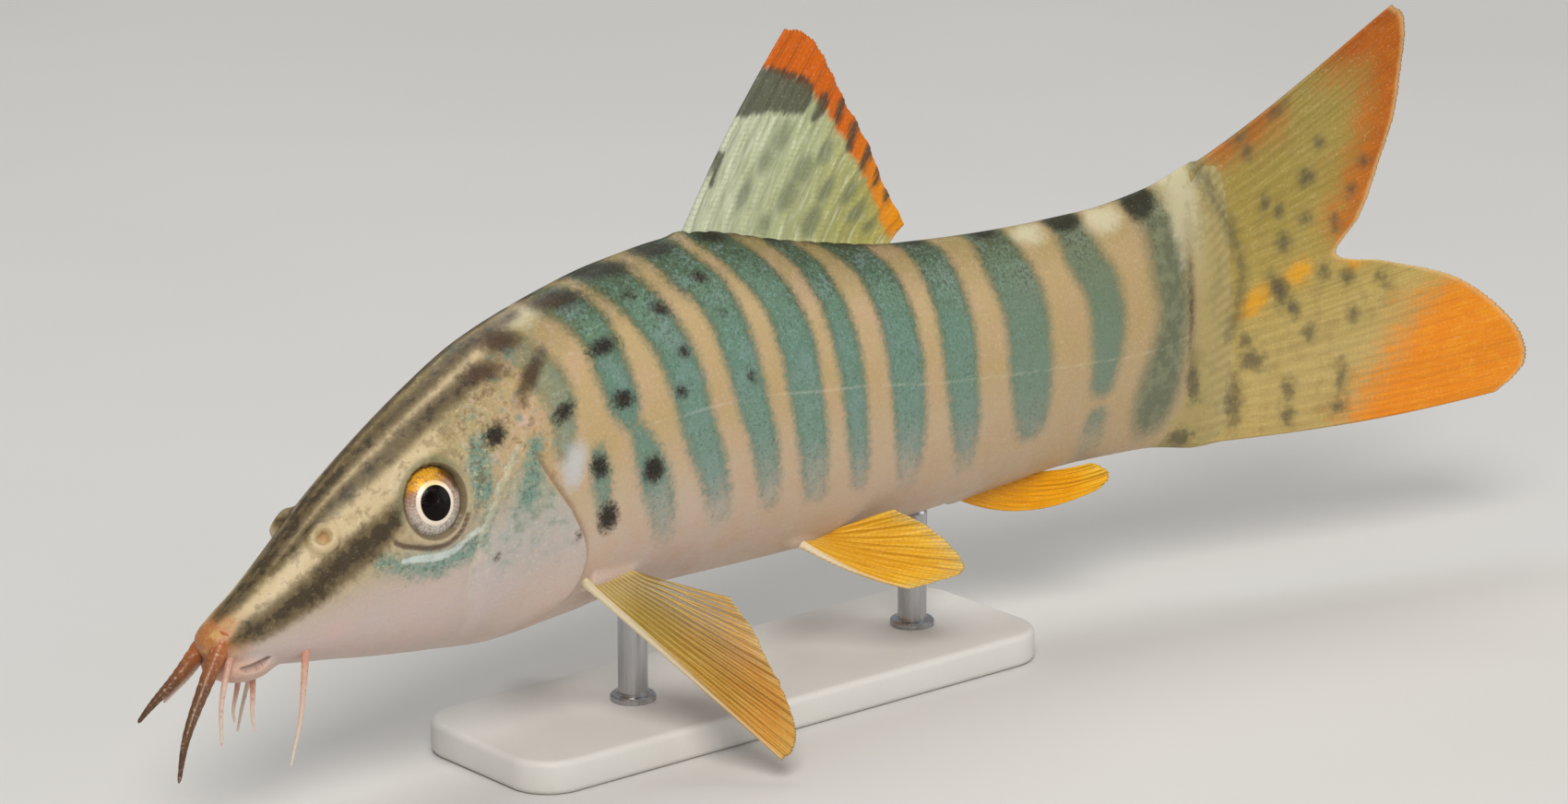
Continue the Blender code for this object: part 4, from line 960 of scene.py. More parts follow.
def make_base():
    """The stand's plate, with round corners and soft edges."""
    deselect_all()
    bpy.ops.mesh.primitive_cube_add(size=1, location=(0, 0, BASE_HEIGHT * MM / 2))
    plate = bpy.context.object
    plate.name = plate.data.name = "stand_plate"
    plate.scale = (BASE_LENGTH * MM, BASE_WIDTH * MM, BASE_HEIGHT * MM)
    bpy.ops.object.transform_apply(location=True, rotation=True, scale=True)
    weights = plate.data.attributes.new("bevel_weight_edge", "FLOAT", "EDGE")
    for edge in plate.data.edges:
        first, last = (plate.data.vertices[index].co.z for index in edge.vertices)
        weights.data[edge.index].value = float(abs(last - first) > BASE_HEIGHT * MM / 2)
    corners = plate.modifiers.new("corners", "BEVEL")
    corners.limit_method = "WEIGHT"
    corners.width = BASE_CORNER * MM
    corners.segments = CORNER_SEGMENTS
    bpy.ops.object.modifier_apply(modifier=corners.name)
    rim = plate.modifiers.new("rim", "BEVEL")
    rim.limit_method = "ANGLE"
    rim.angle_limit = RIM_ANGLE
    rim.width = BASE_RIM * MM
    rim.segments = RIM_SEGMENTS
    bpy.ops.object.modifier_apply(modifier=rim.name)
    bpy.ops.object.shade_smooth_by_angle(angle=SHARP_ANGLE)
    return plate


def make_rod(name, x):
    """A short rod in a low collar on the plate, its top's edge rounded and just inside the belly."""
    top = float(along(BELLY, x)) + ROD_SUNK
    corners = [(radius, BASE_HEIGHT + over) for radius, over in ROD_COLLAR]
    corners = np.array(corners + [(radius, top - below) for radius, below in ROD_END])
    quarters = np.linspace(0, 1, 4, endpoint=False)[:, None]
    steps = [between(first, last, quarters) for first, last in zip(corners, corners[1:])]
    outline = np.concatenate(steps + [corners[-1:]])
    obj, column, row = flat_grid(name.replace("rod", "post"), ROD_TURNS, len(outline) - 1)
    angle = np.linspace(0, 2 * math.pi, ROD_TURNS + 1)
    places = np.stack([
        x + outline[:, :1] * np.cos(angle),
        midline(x) + outline[:, :1] * np.sin(angle),
        outline[:, 1:] + 0 * angle,
    ], -1)
    shape_grid(obj, column, row, places)
    bpy.ops.object.shade_smooth_by_angle(angle=SHARP_ANGLE)
    return obj


def linear(red, green, blue):
    """A colour as a screen shows it, 0 to 255, as the light it stands for."""
    parts = [value / 255 for value in (red, green, blue)]
    light = [part / 12.92 if part < 0.04045 else ((part + 0.055) / 1.055) ** 2.4 for part in parts]
    return (*light, 1.0)


class Wire:
    """A socket of a material that takes part in sums written as Python expressions."""

    def __init__(self, finish, socket):
        self.finish = finish
        self.socket = socket

    def __add__(self, other):
        return self.finish.sum("ADD", self, other)

    __radd__ = __add__

    def __sub__(self, other):
        return self.finish.sum("SUBTRACT", self, other)

    def __rsub__(self, other):
        return self.finish.sum("SUBTRACT", other, self)

    def __mul__(self, other):
        return self.finish.sum("MULTIPLY", self, other)

    __rmul__ = __mul__

    def __truediv__(self, other):
        return self.finish.sum("DIVIDE", self, other)

    def __rtruediv__(self, other):
        return self.finish.sum("DIVIDE", other, self)

    def __pow__(self, other):
        return self.finish.sum("POWER", self, other)

    def __rpow__(self, other):
        return self.finish.sum("POWER", other, self)


class Paint(Wire):
    """A colour built up coat by coat, each laid by its share over those before it."""

    def lay(self, share, colour):
        """Lays on this share of another colour."""
        self.socket = self.finish.mix(share, self, colour).socket

    def coat(self, share, *screen):
        """Lays on a colour as a screen shows it."""
        self.lay(share, linear(*screen))


class Finish:
    """One material in the making. Its constants stand on the shader's own sockets."""

    def __init__(self, name, **constants):
        self.material = bpy.data.materials.new(name)
        self.material.use_nodes = True
        self.tree = self.material.node_tree
        self.tree.nodes.clear()
        self.shader = self.add("ShaderNodeBsdfPrincipled")
        output = self.add("ShaderNodeOutputMaterial")
        self.tree.links.new(self.shader.outputs["BSDF"], output.inputs["Surface"])
        self.surface(**constants)
        self.here = Wire(self, self.add("ShaderNodeTexCoord").outputs["Object"])

    def add(self, kind, settings=None, inputs=None):
        """A node of this type, its settings first, then the values or wires of its sockets."""
        node = self.tree.nodes.new(kind)
        for setting, value in (settings or {}).items():
            if setting == "stops":
                self.set_stops(node.color_ramp, value)
            else:
                setattr(node, setting, value)
        for socket, value in (inputs or {}).items():
            self.set_socket(node.inputs[socket], value)
        return node

    def set_stops(self, ramp, stops):
        """Each stop is its place and either a screen colour's three numbers or one ready colour."""
        while len(ramp.elements) > 1:
            ramp.elements.remove(ramp.elements[-1])
        for index, (place, *colour) in enumerate(stops):
            stop = ramp.elements.new(place) if index else ramp.elements[0]
            stop.position = place
            stop.color = linear(*colour) if len(colour) == 3 else colour[0]

    def set_socket(self, socket, value):
        """Links a wire to the socket, or sets a plain value on it."""
        if isinstance(value, Wire):
            self.tree.links.new(value.socket, socket)
        else:
            socket.default_value = value

    def sum(self, operation, first, second=0.0):
        """One Math node."""
        node = self.add("ShaderNodeMath", {"operation": operation}, {0: first, 1: second})
        return Wire(self, node.outputs[0])

    def kept(self, name):
        """The number stored on the mesh's points under this name."""
        node = self.add("ShaderNodeAttribute", {"attribute_name": name, "attribute_type": "GEOMETRY"})
        return Wire(self, node.outputs["Fac"])

    def rise(self, value, low, high, first=0.0, last=1.0):
        """A soft step from first to last as the value goes from low to high."""
        node = self.add(
            "ShaderNodeMapRange", {"interpolation_type": "SMOOTHSTEP", "clamp": True},
            {"Value": value, "From Min": low, "From Max": high, "To Min": first, "To Max": last})
        return Wire(self, node.outputs["Result"])

    def waves(self, value, low=-1.0):
        """A soft ripple from 0 to 1 as the value runs on."""
        return self.rise(self.sum("SINE", value), low, 1.0)

    def axis(self, letter):
        """The object's own X, Y or Z in millimetres."""
        node = self.add("ShaderNodeSeparateXYZ", {}, {"Vector": self.here})
        return Wire(self, node.outputs[letter]) / MM

    def at(self, x, y, z=0.0):
        """A place given by three numbers, one unit standing for a millimetre."""
        node = self.add("ShaderNodeCombineXYZ", {}, {"X": x * MM, "Y": y * MM, "Z": z * MM})
        return Wire(self, node.outputs[0])

    def stretched(self, stretch, place=None):
        """The object's own coordinates, or another place, scaled along each axis."""
        inputs = {"Vector": place or self.here, "Scale": stretch}
        return Wire(self, self.add("ShaderNodeMapping", {"vector_type": "POINT"}, inputs).outputs[0])

    def noise(self, size_mm, detail=2.0, rough=0.5, stretch=(1, 1, 1), place=None):
        """Cloudy noise from 0 to 1 whose clouds are about this many millimetres across."""
        inputs = {"Vector": self.stretched(stretch, place), "Scale": 1 / (size_mm * MM), "Detail": detail,
                  "Roughness": rough}
        node = self.add("ShaderNodeTexNoise", {"noise_dimensions": "3D"}, inputs)
        return Wire(self, node.outputs["Fac"])

    def cells(self, size_mm, stretch=(1, 1, 1)):
        """Distance from the middle of cells about this many millimetres across."""
        inputs = {"Vector": self.stretched(stretch), "Scale": 1 / (size_mm * MM)}
        return Wire(self, self.add("ShaderNodeTexVoronoi", {"feature": "F1"}, inputs).outputs["Distance"])

    def ramp(self, value, *stops):
        """A colour that changes with a value, its stops as set_stops takes them."""
        node = self.add("ShaderNodeValToRGB", {"stops": stops}, {"Fac": value})
        return Paint(self, node.outputs["Color"])

    def mix(self, share, first, last):
        """The first colour with this share of the last over it."""
        settings = {"data_type": "RGBA", "blend_type": "MIX", "clamp_factor": True}
        node = self.add("ShaderNodeMix", settings, {0: share, 6: first, 7: last})
        return Paint(self, node.outputs[2])

    def bump(self, height, depth_mm, strength=1.0):
        """Fine relief from a height between 0 and about 1."""
        inputs = {"Height": height, "Distance": depth_mm * MM, "Strength": strength}
        return Wire(self, self.add("ShaderNodeBump", {}, inputs).outputs["Normal"])

    def surface(self, **inputs):
        """Sets the shader's own sockets, named with _ for a space."""
        for socket, value in inputs.items():
            self.set_socket(self.shader.inputs[socket.replace("_", " ")], value)
        return self.material


class SkinFinish(Finish):
    """The skin's finish in the making: where on the body a point lies, and noise from fine to coarse."""

    def __init__(self):
        super().__init__(
            "loach_skin", Subsurface_Weight=0.05, Subsurface_Radius=(1.0, 0.5, 0.35),
            Subsurface_Scale=0.001, IOR=1.33, Coat_Roughness=0.25, Coat_IOR=1.4)
        self.height, self.x = self.kept("height"), self.axis("X")
        self.grain = self.noise(0.17, 2.0, 0.6) - 0.5
        self.grit = self.noise(0.42, 3.0, 0.65) - 0.5
        self.mottle = self.noise(1.2, 3.0, 0.6) - 0.5
        self.cloud = self.noise(3.2, 3.0, 0.55) - 0.5
        self.level = self.height + self.cloud * 0.12
        self.rearward = self.rise(self.x + self.cloud * 8.0, 12.0, 42.0)
        self.on_head = self.rise(self.x + self.cloud * 3.0 + self.mottle * 2.0, -27.0, -33.0)


def ground_coats(finish, look):
    """The skin between the marks: back, flanks and belly, then head, nape and gill cover."""
    kept, rise, noise = finish.kept, finish.rise, finish.noise
    x, height, level, mottle, cloud = finish.x, finish.height, finish.level, finish.mottle, finish.cloud
    body = finish.ramp(
        level, (0.0, 206, 186, 176), (0.15, 196, 176, 164), (0.32, 190, 171, 149),
        (0.55, look.gaps), (0.82, 184, 158, 112), (1.0, 136, 120, 76))
    body.coat(rise(cloud, -0.08, 0.14) * 0.4, 194, 160, 136)
    body.coat(rise(x + cloud * 6.0, -16.0, 4.0) * rise(level, 0.55, 0.25) * 0.5, 186, 158, 120)
    body.coat(finish.rearward * 0.50, 172, 146, 92)
    head = finish.ramp(
        level, (0.0, 196, 178, 168), (0.24, 192, 176, 170), (0.40, 184, 168, 156),
        (0.55, 174, 156, 124), (0.75, 178, 160, 118), (1.0, 138, 122, 80))
    base = finish.mix(finish.on_head, body, head)
    nape = rise(height, 0.42, 0.60) * rise(x + mottle * 2.0, -22.0, -27.0) * rise(x, -35.5, -32.5)
    base.coat(nape * rise(mottle, -0.02, 0.20) * 0.75, 102, 134, 120)
    base.coat(nape * rise(mottle, 0.0, -0.22) * 0.75, 108, 88, 60)
    base.coat(nape * rise(noise(0.9, 2.0, 0.6), 0.54, 0.72) * 0.6, 200, 172, 158)
    cover = rise(kept("behind_gill") + cloud * 0.8, 0.4, -0.6)
    cover = cover * rise(kept("behind_cheek") + mottle * 2.0, -1.2, 1.4)
    cover = cover * rise(height, 0.08, 0.36) * rise(height + mottle * 0.25, 0.72, 0.52)
    cover = cover * rise(x, -38.0, -36.0)
    base.lay(cover * 0.85, finish.ramp(
        level + mottle * 0.3, (0.0, 196, 180, 174), (0.26, 188, 176, 174), (0.44, 164, 168, 162),
        (0.60, 136, 146, 124), (0.75, 126, 132, 100)))
    high_cover = cover * rise(level, 0.26, 0.46)
    base.coat(cover * rise(noise(0.34, 3.0, 0.7), 0.52, 0.66) * 0.3, 208, 200, 190)
    base.coat(high_cover * rise(mottle, 0.02, 0.16) * 0.5, 104, 128, 110)
    base.coat(high_cover * rise(mottle, -0.04, -0.18) * 0.4, 186, 164, 142)
    blush = rise(x + cloud * 2.0, -33.0, -36.5) * rise(level, 0.44, 0.30) * rise(x, -56.0, -50.0)
    base.coat(blush * rise(cloud, -0.2, 0.2) * 0.3, 212, 176, 170)
    return base


def bar_coats(finish, look, base):
    """The flanks' blue-green bars, which pale downwards and turn olive tailwards."""
    kept, rise, mix, noise = finish.kept, finish.rise, finish.mix, finish.noise
    x, level, rearward = finish.x, finish.level, finish.rearward
    grain, grit, mottle, cloud = finish.grain, finish.grit, finish.mottle, finish.cloud
    last_bar = rise(x, 40.5, 44.5)
    barred = rise(
        kept("bar") + grit * 1.3 + grain * 0.5 + mottle * 0.5, last_bar * -0.5 - 0.85 - rearward * 0.25,
        last_bar * 0.5 + 0.48 + rearward * 0.30)
    low_end = level + rearward * 0.14 + last_bar * 0.12 + grit * 0.3 + mottle * 0.15
    barred = barred * rise(low_end, 0.06, 0.42) * rise(x + mottle * 5.0, -29.0, -19.0, 0.4, 1.0)
    teal = finish.ramp(
        level, (0.0, 158, 158, 150), (0.24, 142, 150, 142), (0.44, 113, 138, 122),
        (0.70, look.bars), (0.88, 94, 123, 99), (1.0, 58, 66, 40))
    teal.coat(rise(noise(0.30, 3.0, 0.65), 0.48, 0.66) * 0.45, 128, 162, 154)
    teal.coat(rise(noise(0.34, 3.0, 0.7), 0.46, 0.34) * 0.6, 66, 92, 76)
    teal.coat(rise(cloud + mottle * 0.5, -0.02, 0.20) * 0.45, 122, 146, 140)
    edge = rise(kept("bar") + grit * 0.8 + mottle * 0.6, 0.9, 0.0) * rise(level, 0.55, 0.90, 0.30, 0.75)
    teal.coat(edge, 78, 88, 58)
    teal.lay(rearward * 0.62, mix(rise(level, 0.45, 0.85), linear(112, 124, 98), linear(112, 114, 80)))
    teal.lay(last_bar * 0.75, mix(rise(mottle, -0.1, 0.15), linear(98, 100, 72), linear(126, 126, 94)))
    specks = rise(noise(0.36, 3.0, 0.7), 0.52, 0.40) * rise(level + cloud * 0.3, 0.70, 0.95)
    teal.coat(specks * 0.6, 50, 56, 38)
    base.lay(barred, teal)
    gap_fleck = rise(noise(0.30, 3.0, 0.7), 0.52, 0.66) * (1.0 - barred)
    base.coat(gap_fleck * 0.3, 208, 182, 146)


def head_coats(finish, look, base):
    """The head's blue-green and cream marks, its flecks, the snout's tip and the long dark stripes."""
    kept, rise, mix, noise = finish.kept, finish.rise, finish.mix, finish.noise
    x, level, grain, grit, mottle = finish.x, finish.level, finish.grain, finish.grit, finish.mottle
    glow = rise(kept("teal") + grit * 1.2 + mottle * 1.2, -0.8, 0.6)
    glow = glow * rise(noise(0.45, 2.0, 0.6), 0.30, 0.55, 0.5, 1.0)
    base.coat(glow * 0.8, 98, 140, 128)
    base.coat(glow * rise(noise(0.4, 3.0, 0.7), 0.52, 0.40) * 0.6, 70, 84, 66)
    cream = rise(kept("cream") + grit * 0.6 + mottle * 0.7, -0.7, 0.4)
    base.coat(cream * 0.85, 202, 182, 144)
    fleck = finish.on_head * rise(level, 0.42, 0.58)
    base.coat(fleck * rise(noise(0.5, 3.0, 0.7), 0.54, 0.66) * 0.55, 204, 190, 148)
    base.coat(fleck * rise(noise(0.8, 2.0, 0.6), 0.48, 0.32) * 0.45, 112, 92, 62)
    patch = rise(kept("patch") + grit * 0.8 + mottle * 1.2, -0.9, 0.8)
    lower = rise(finish.height, 0.76, 0.64)
    base.lay(patch * 0.72, mix(lower, linear(206, 200, 168), linear(190, 196, 202)))
    tip = rise(x + grit * 2.0 + mottle * 3.0, -53.4, -57.2)
    base.lay(tip * 0.8, look.snout)
    base.coat(tip * rise(mottle, 0.0, 0.12) * 0.5, 206, 168, 96)
    base.coat(tip * rise(grit, 0.04, 0.2) * 0.4, 118, 66, 34)
    stripe = kept("dark") + grit * 0.6 + grain * 0.25 + mottle * 1.1 - rise(x, -54.5, -57.0) * 0.8
    base.lay(rise(stripe, -0.7, 0.35) * 0.84, look.stripes)
    base.coat(rise(stripe + mottle * 1.8, 0.25, 0.9) * 0.75, 44, 34, 22)


def spot_coats(finish, look, base):
    """The dark patches along the back, the flanks' spots and the pale lines. Gives the patches' share."""
    kept, rise, mix, noise = finish.kept, finish.rise, finish.mix, finish.noise
    x, grain, grit, mottle = finish.x, finish.grain, finish.grit, finish.mottle
    shade = rise(kept("shade") + grit * 0.7 + grain * 0.3 + mottle * 0.5, -0.6, 0.5)
    base.lay(shade * 0.92, mix(rise(x, -24.0, -18.0), linear(66, 46, 30), linear(36, 34, 20)))
    spot = kept("spot") + grit * 0.9 + grain * 0.4 + mottle * 0.4
    base.coat(rise(spot, -0.60, 0.1) * 0.45, 74, 72, 50)
    base.lay(rise(spot + (noise(0.28, 2.0, 0.6) - 0.5) * 0.8, -0.40, 0.30) * 0.96, look.spots)
    base.coat(rise(spot, -0.1, 0.3) * rise(noise(0.30, 2.0, 0.6), 0.52, 0.66) * 0.4, 84, 52, 32)
    line = rise(kept("line") + grain * 0.2 + grit * 0.1, -0.12, 0.08)
    faint = rise(x, -32.0, -29.0, 0.8, 0.36) * rise(x + mottle * 60.0, -46.0, -20.0, 1.0, 0.55)
    base.lay(line * faint, mix(rise(x, -32.0, -29.0), linear(206, 216, 210), linear(214, 210, 188)))
    return shade


def face_coats(finish, base):
    """The cheek's crease, the gill slit, lips, mouth and nostrils, and the skin round the eye, with
    painted shade in the gill slit, between the lips and round the eyeball.
    """
    kept, rise, mix = finish.kept, finish.rise, finish.mix
    height, grit, mottle = finish.height, finish.grit, finish.mottle
    off_crease = finish.sum("ABSOLUTE", kept("behind_cheek") + mottle * 1.6 + grit * 0.5 + 0.4)
    crease = rise(off_crease, 0.55, 0.05)
    crease = crease * rise(height, 0.10, 0.24) * rise(height, 0.74, 0.62)
    crease = crease * rise(grit, -0.15, 0.1, 0.3, 1.0)
    base.coat(crease * rise(height, 0.30, 0.50, 0.3, 0.75), 208, 204, 176)
    # Painted shade: a darker band in the gill slit just behind the cover's edge.
    slit = rise(kept("behind_gill"), -0.1, 0.16) * rise(kept("behind_gill"), 0.7, 0.35)
    base.coat(slit * 0.5, 136, 104, 82)
    lips = rise(kept("lip_far") + grit * 0.4, 0.35, -0.25)
    base.coat(lips * 0.9, 208, 172, 156)
    base.coat(lips * rise(mottle + grit * 0.5, 0.0, 0.14) * 0.35, 196, 138, 108)
    # Painted shade: a dark line in the carved groove between the lips.
    mouth = rise(kept("slit_far"), 0.14, -0.10)
    base.coat(mouth * 0.85, 84, 62, 50)
    breath = rise(kept("nostril") + grit * 0.5, 1.5, 0.9)
    base.coat(breath * 0.5, 198, 174, 132)
    base.coat(rise(kept("nostril") + grit * 0.4, 0.65, 0.25) * 0.6, 166, 112, 62)
    eye_far = kept("eye_far")
    rim = rise(eye_far + grit * 0.25 + mottle * 0.6, 4.2, 3.5) * rise(finish.level, 0.35, 0.6)
    above = rise(height + mottle * 0.2, 0.62, 0.76)
    base.lay(rim * 0.6, mix(above, linear(178, 162, 128), linear(108, 110, 78)))
    # Painted shade: a narrow dark ring at the socket's edge, where the skin meets the eyeball.
    base.coat(rise(eye_far, 3.32, 3.14) * 0.7, 84, 68, 46)
    base.coat(rise(kept("fold") + grit * 0.12, 0.38, 0.10) * 0.80, 74, 52, 38)


def tail_coats(finish, look, base):
    """The scales that run out on to the tail fin, with its marks and a painted highlight on its top. Gives
    the relief of its rays.
    """
    kept, rise = finish.kept, finish.rise
    x, height, mottle, cloud = finish.x, finish.height, finish.mottle, finish.cloud
    khaki = rise(x + (height * 2.0 - 1.0) ** 2.0 * 3.5 + mottle * 2.2, 49.6, 52.0)
    base.lay(khaki * 0.94, look.tail)
    # Painted highlight: the top of the tail root is made paler, a whitish sheen laid into the colour.
    sheen = khaki * rise(finish.level + mottle * 0.4, 0.45, 0.85) * rise(x + mottle * 3.0, 53.0, 49.8)
    base.coat(sheen * 0.7, 200, 194, 162)
    rib = finish.waves(kept("tail_ray") * (2 * math.pi) + math.pi / 2) * rise(x, 50.5, 55.0)
    base.coat(rib * khaki * 0.30, 196, 182, 128)
    base.coat(khaki * rise(cloud + mottle, 0.0, 0.2) * 0.3, 136, 126, 80)
    blot = finish.noise(0.8, 3.0, 0.65) - 0.5
    smoke = rise(kept("tail_dark") + blot * 2.6, -1.1, 0.7) * rise(x, 50.0, 51.5)
    base.coat(smoke * 0.65, 90, 88, 62)
    tail_spot = rise(kept("tail_spot") + blot * 2.2, -0.6, 0.5) * rise(x, 47.4, 48.4)
    base.coat(tail_spot * 0.72, 74, 74, 60)
    return rib


def skin_finish(look):
    """The skin from snout to tail root, its marks laid coat by coat."""
    finish = SkinFinish()
    rise, noise = finish.rise, finish.noise
    base = ground_coats(finish, look)
    bar_coats(finish, look, base)
    head_coats(finish, look, base)
    shade = spot_coats(finish, look, base)
    face_coats(finish, base)
    rib = tail_coats(finish, look, base)
    base.coat(rise(finish.grain, 0.08, 0.30) * 0.16, 240, 228, 196)
    base.coat(rise(finish.grain, -0.10, -0.30) * 0.22, 84, 70, 50)
    scales = finish.cells(0.34, (0.75, 1.0, 1.0))
    bumped = scales * 0.6 + finish.grit * 0.7 + noise(1.1, 2.0, 0.5) * 0.6 + rib * 1.6
    wet = rise(noise(2.0, 2.0, 0.5), 0.3, 0.7, 0.06, 0.20) * (1.0 - shade * 0.9)
    return finish.surface(
        Base_Color=base, Roughness=rise(noise(0.8, 2.0, 0.5), 0.3, 0.7, 0.40, 0.56), Coat_Weight=wet,
        Normal=finish.bump(bumped, look.grain / MM, 0.7))


class FinFinish(Finish):
    """A fin's finish in the making: values along and across its rays, streaks, blots and last coats."""

    def __init__(self, name, make):
        super().__init__(
            name, Subsurface_Weight=0.05, Subsurface_Radius=(1.0, 0.7, 0.4), Subsurface_Scale=0.0008,
            IOR=1.26, Coat_Weight=0.04, Coat_Roughness=0.3)
        self.reach, self.across, self.ridge = self.kept("reach"), self.kept("across"), self.kept("ridge")
        self.run = self.kept("run")
        lengthwise = self.at(self.across * (make.rays * 4.0), self.run * 0.30)
        self.streaks = self.noise(0.8, 3.0, 0.6, place=lengthwise)
        self.grain = self.noise(0.2, 2.0, 0.6) - 0.5
        self.cloud = self.noise(2.4, 3.0, 0.6) - 0.5
        self.blot = self.noise(0.8, 3.0, 0.65) - 0.5

    def dressed(self, base, clear_web, solid_root=1.0, jointed=0.16):
        """Closes the material: dark joints on the rays, fine grain, and the web's share of cover."""
        joints = self.waves(self.run * (2 * math.pi / 0.5) + self.streaks * 5.0, 0.2) * self.ridge
        base.coat(joints * jointed, 90, 80, 50)
        base.coat(self.rise(self.grain, 0.06, 0.28) * 0.2, 244, 232, 190)
        base.coat(self.rise(self.grain, -0.08, -0.28) * 0.2, 80, 66, 34)
        cover = self.rise(self.ridge, 0.1, 0.7) * (1.0 - clear_web) + clear_web
        cover = self.sum("MAXIMUM", cover, self.rise(self.run, solid_root + 2.0, solid_root))
        relief = 0.1 + jointed * 2
        bumped = self.ridge * relief - joints * (jointed * 1.5) + self.streaks * 0.4 + self.grain * 0.3
        return self.surface(
            Base_Color=base, Alpha=cover, Roughness=self.rise(self.streaks, 0.3, 0.7, 0.36, 0.52),
            Normal=self.bump(bumped, 0.05, 0.8))


def dorsal_finish():
    """The dorsal fin's finish."""
    finish = FinFinish("dorsal_fin", DORSAL_MAKE)
    rise = finish.rise
    base = finish.ramp(
        finish.across + finish.cloud * 0.25, (0.0, 196, 202, 174), (0.4, 178, 184, 140),
        (0.75, 166, 162, 92), (1.0, 176, 164, 78))
    base.coat(rise(finish.streaks, 0.52, 0.66) * 0.45, 226, 230, 208)
    base.coat(rise(finish.streaks, 0.48, 0.34) * 0.40, 132, 134, 96)
    smudge = rise(finish.kept("smudge") + finish.cloud * 0.6 + (finish.streaks - 0.5) * 1.4, -0.5, 0.35)
    base.coat(smudge * 0.6, 98, 108, 84)
    glow = rise(finish.kept("glow") + finish.cloud * 0.8 + (finish.streaks - 0.5) * 2.0, -0.5, 0.5)
    base.coat(glow, 204, 96, 0)
    base.coat(glow * rise(finish.across, 0.5, 0.95) * 0.7, 232, 156, 16)
    dark = rise(finish.kept("dark") + (finish.streaks - 0.5) * 1.6 + finish.grain * 0.4, -0.35, 0.3)
    base.coat(dark * 0.85, 58, 60, 46)
    return finish.dressed(base, 0.9)


def caudal_finish(look):
    """The tail fin's finish."""
    finish = FinFinish("caudal_fin", CAUDAL_MAKE)
    rise = finish.rise
    base = finish.ramp(
        finish.across + finish.cloud * 0.3, (0.0, 152, 132, 62), (0.35, 160, 140, 66),
        (0.55, 178, 154, 84), (0.8, 188, 164, 102), (1.0, 184, 158, 96))
    base.lay(rise(finish.run + finish.cloud * 3.0, 7.0, 0.5) * 0.8, look.tail)
    base.coat(rise(finish.streaks, 0.52, 0.68) * 0.20, 200, 186, 122)
    base.coat(rise(finish.streaks, 0.47, 0.33) * 0.20, 126, 112, 58)
    base.coat(finish.ridge * rise(finish.cloud, -0.15, 0.15) * 0.12, 198, 184, 122)
    base.coat(rise(finish.cloud, 0.0, 0.18) * 0.4, 150, 124, 66)
    base.coat(rise(finish.blot, 0.06, 0.22) * 0.3, 190, 172, 118)
    glow = rise(finish.kept("glow") + finish.cloud * 4.0 + (finish.streaks - 0.5) * 5.0, -3.6, 2.4)
    # The tail's orange darkens towards the upper lobe: partly a deeper orange of its own, partly painted
    # shade on the upper lobe.
    deep = finish.ramp(finish.across, (0.0, 168, 78, 0), (0.5, 180, 92, 0), (0.7, look.orange))
    base.lay(glow * 0.92, deep)
    flame = rise(finish.streaks + finish.cloud, 0.44, 0.70) * rise(finish.across, 0.35, 0.75, 0.12, 0.4)
    base.coat(glow * flame, 238, 160, 40)
    gold = rise(finish.kept("gold") + finish.cloud * 1.2 + finish.blot * 2.2 + finish.grain, -0.8, 0.8)
    base.coat(gold * 0.85, 222, 156, 18)
    dark = rise(finish.kept("dark") + finish.blot * 2.6, -1.1, 0.7)
    base.coat(dark * 0.65, 90, 88, 62)
    spot = rise(finish.kept("spot") + finish.blot * 2.0 + finish.grain * 0.6, -0.7, 0.7)
    base.coat(spot * 0.74, 76, 74, 58)
    base.coat(rise(finish.kept("hem"), 0.9, 0.2) * 0.5, 222, 188, 130)
    return finish.dressed(base, 0.92, 8.0, 0.06)


def anal_finish():
    """The anal fin's finish."""
    finish = FinFinish("anal_fin", ANAL_MAKE)
    rise = finish.rise
    base = finish.ramp(
        finish.reach + finish.cloud * 0.3, (0.0, 216, 152, 44), (0.35, 224, 150, 2),
        (0.75, 236, 166, 4), (1.0, 240, 188, 48))
    base.coat(rise(finish.streaks, 0.5, 0.66) * 0.4, 244, 186, 34)
    base.coat(rise(finish.streaks, 0.46, 0.34) * 0.30, 190, 106, 4)
    return finish.dressed(base, 0.9, 1.0, 0.10)


def pectoral_finish():
    """The pectoral fin's finish."""
    finish = FinFinish("pectoral_fin", PECTORAL_MAKE)
    rise = finish.rise
    base = finish.ramp(
        finish.reach + finish.cloud * 0.25, (0.0, 190, 166, 112), (0.3, 160, 130, 46),
        (0.65, 172, 120, 10), (0.9, 198, 124, 2), (1.0, 206, 152, 60))
    base.coat(rise(finish.streaks, 0.52, 0.66) * 0.35, 206, 174, 86)
    base.coat(rise(finish.streaks, 0.46, 0.34) * 0.30, 142, 94, 10)
    base.coat(rise(finish.across, 0.50, 0.95) * 0.45, 188, 162, 104)
    base.coat(finish.ridge * 0.3, 218, 194, 124)
    lead = rise(finish.kept("lead"), 0.55, 0.2) * rise(finish.reach, 0.25, 0.95, 0.85, 0.3)
    base.coat(lead, 228, 214, 184)
    return finish.dressed(base, rise(finish.across + finish.cloud * 0.4, 0.15, 1.0, 0.80, 0.28), 1.0, 0.05)


def pelvic_finish(look):
    """The pelvic fin's finish."""
    finish = FinFinish("pelvic_fin", PELVIC_MAKE)
    rise = finish.rise
    base = finish.ramp(
        finish.reach + finish.cloud * 0.25, (0.0, 214, 176, 100), (0.18, 220, 160, 20),
        (0.6, look.belly_fins), (0.86, 232, 172, 20), (1.0, 226, 186, 96))
    base.coat(rise(finish.streaks, 0.52, 0.66) * 0.4, 244, 204, 76)
    base.coat(rise(finish.streaks, 0.46, 0.34) * 0.4, 196, 122, 8)
    base.coat(finish.ridge * 0.2, 244, 210, 110)
    lead = rise(finish.kept("lead"), 0.6, 0.2) * rise(finish.reach, 0.2, 0.9, 0.9, 0.3)
    base.coat(lead, 236, 222, 190)
    return finish.dressed(base, rise(finish.reach + finish.cloud * 0.2, 0.75, 1.0, 0.86, 0.5))


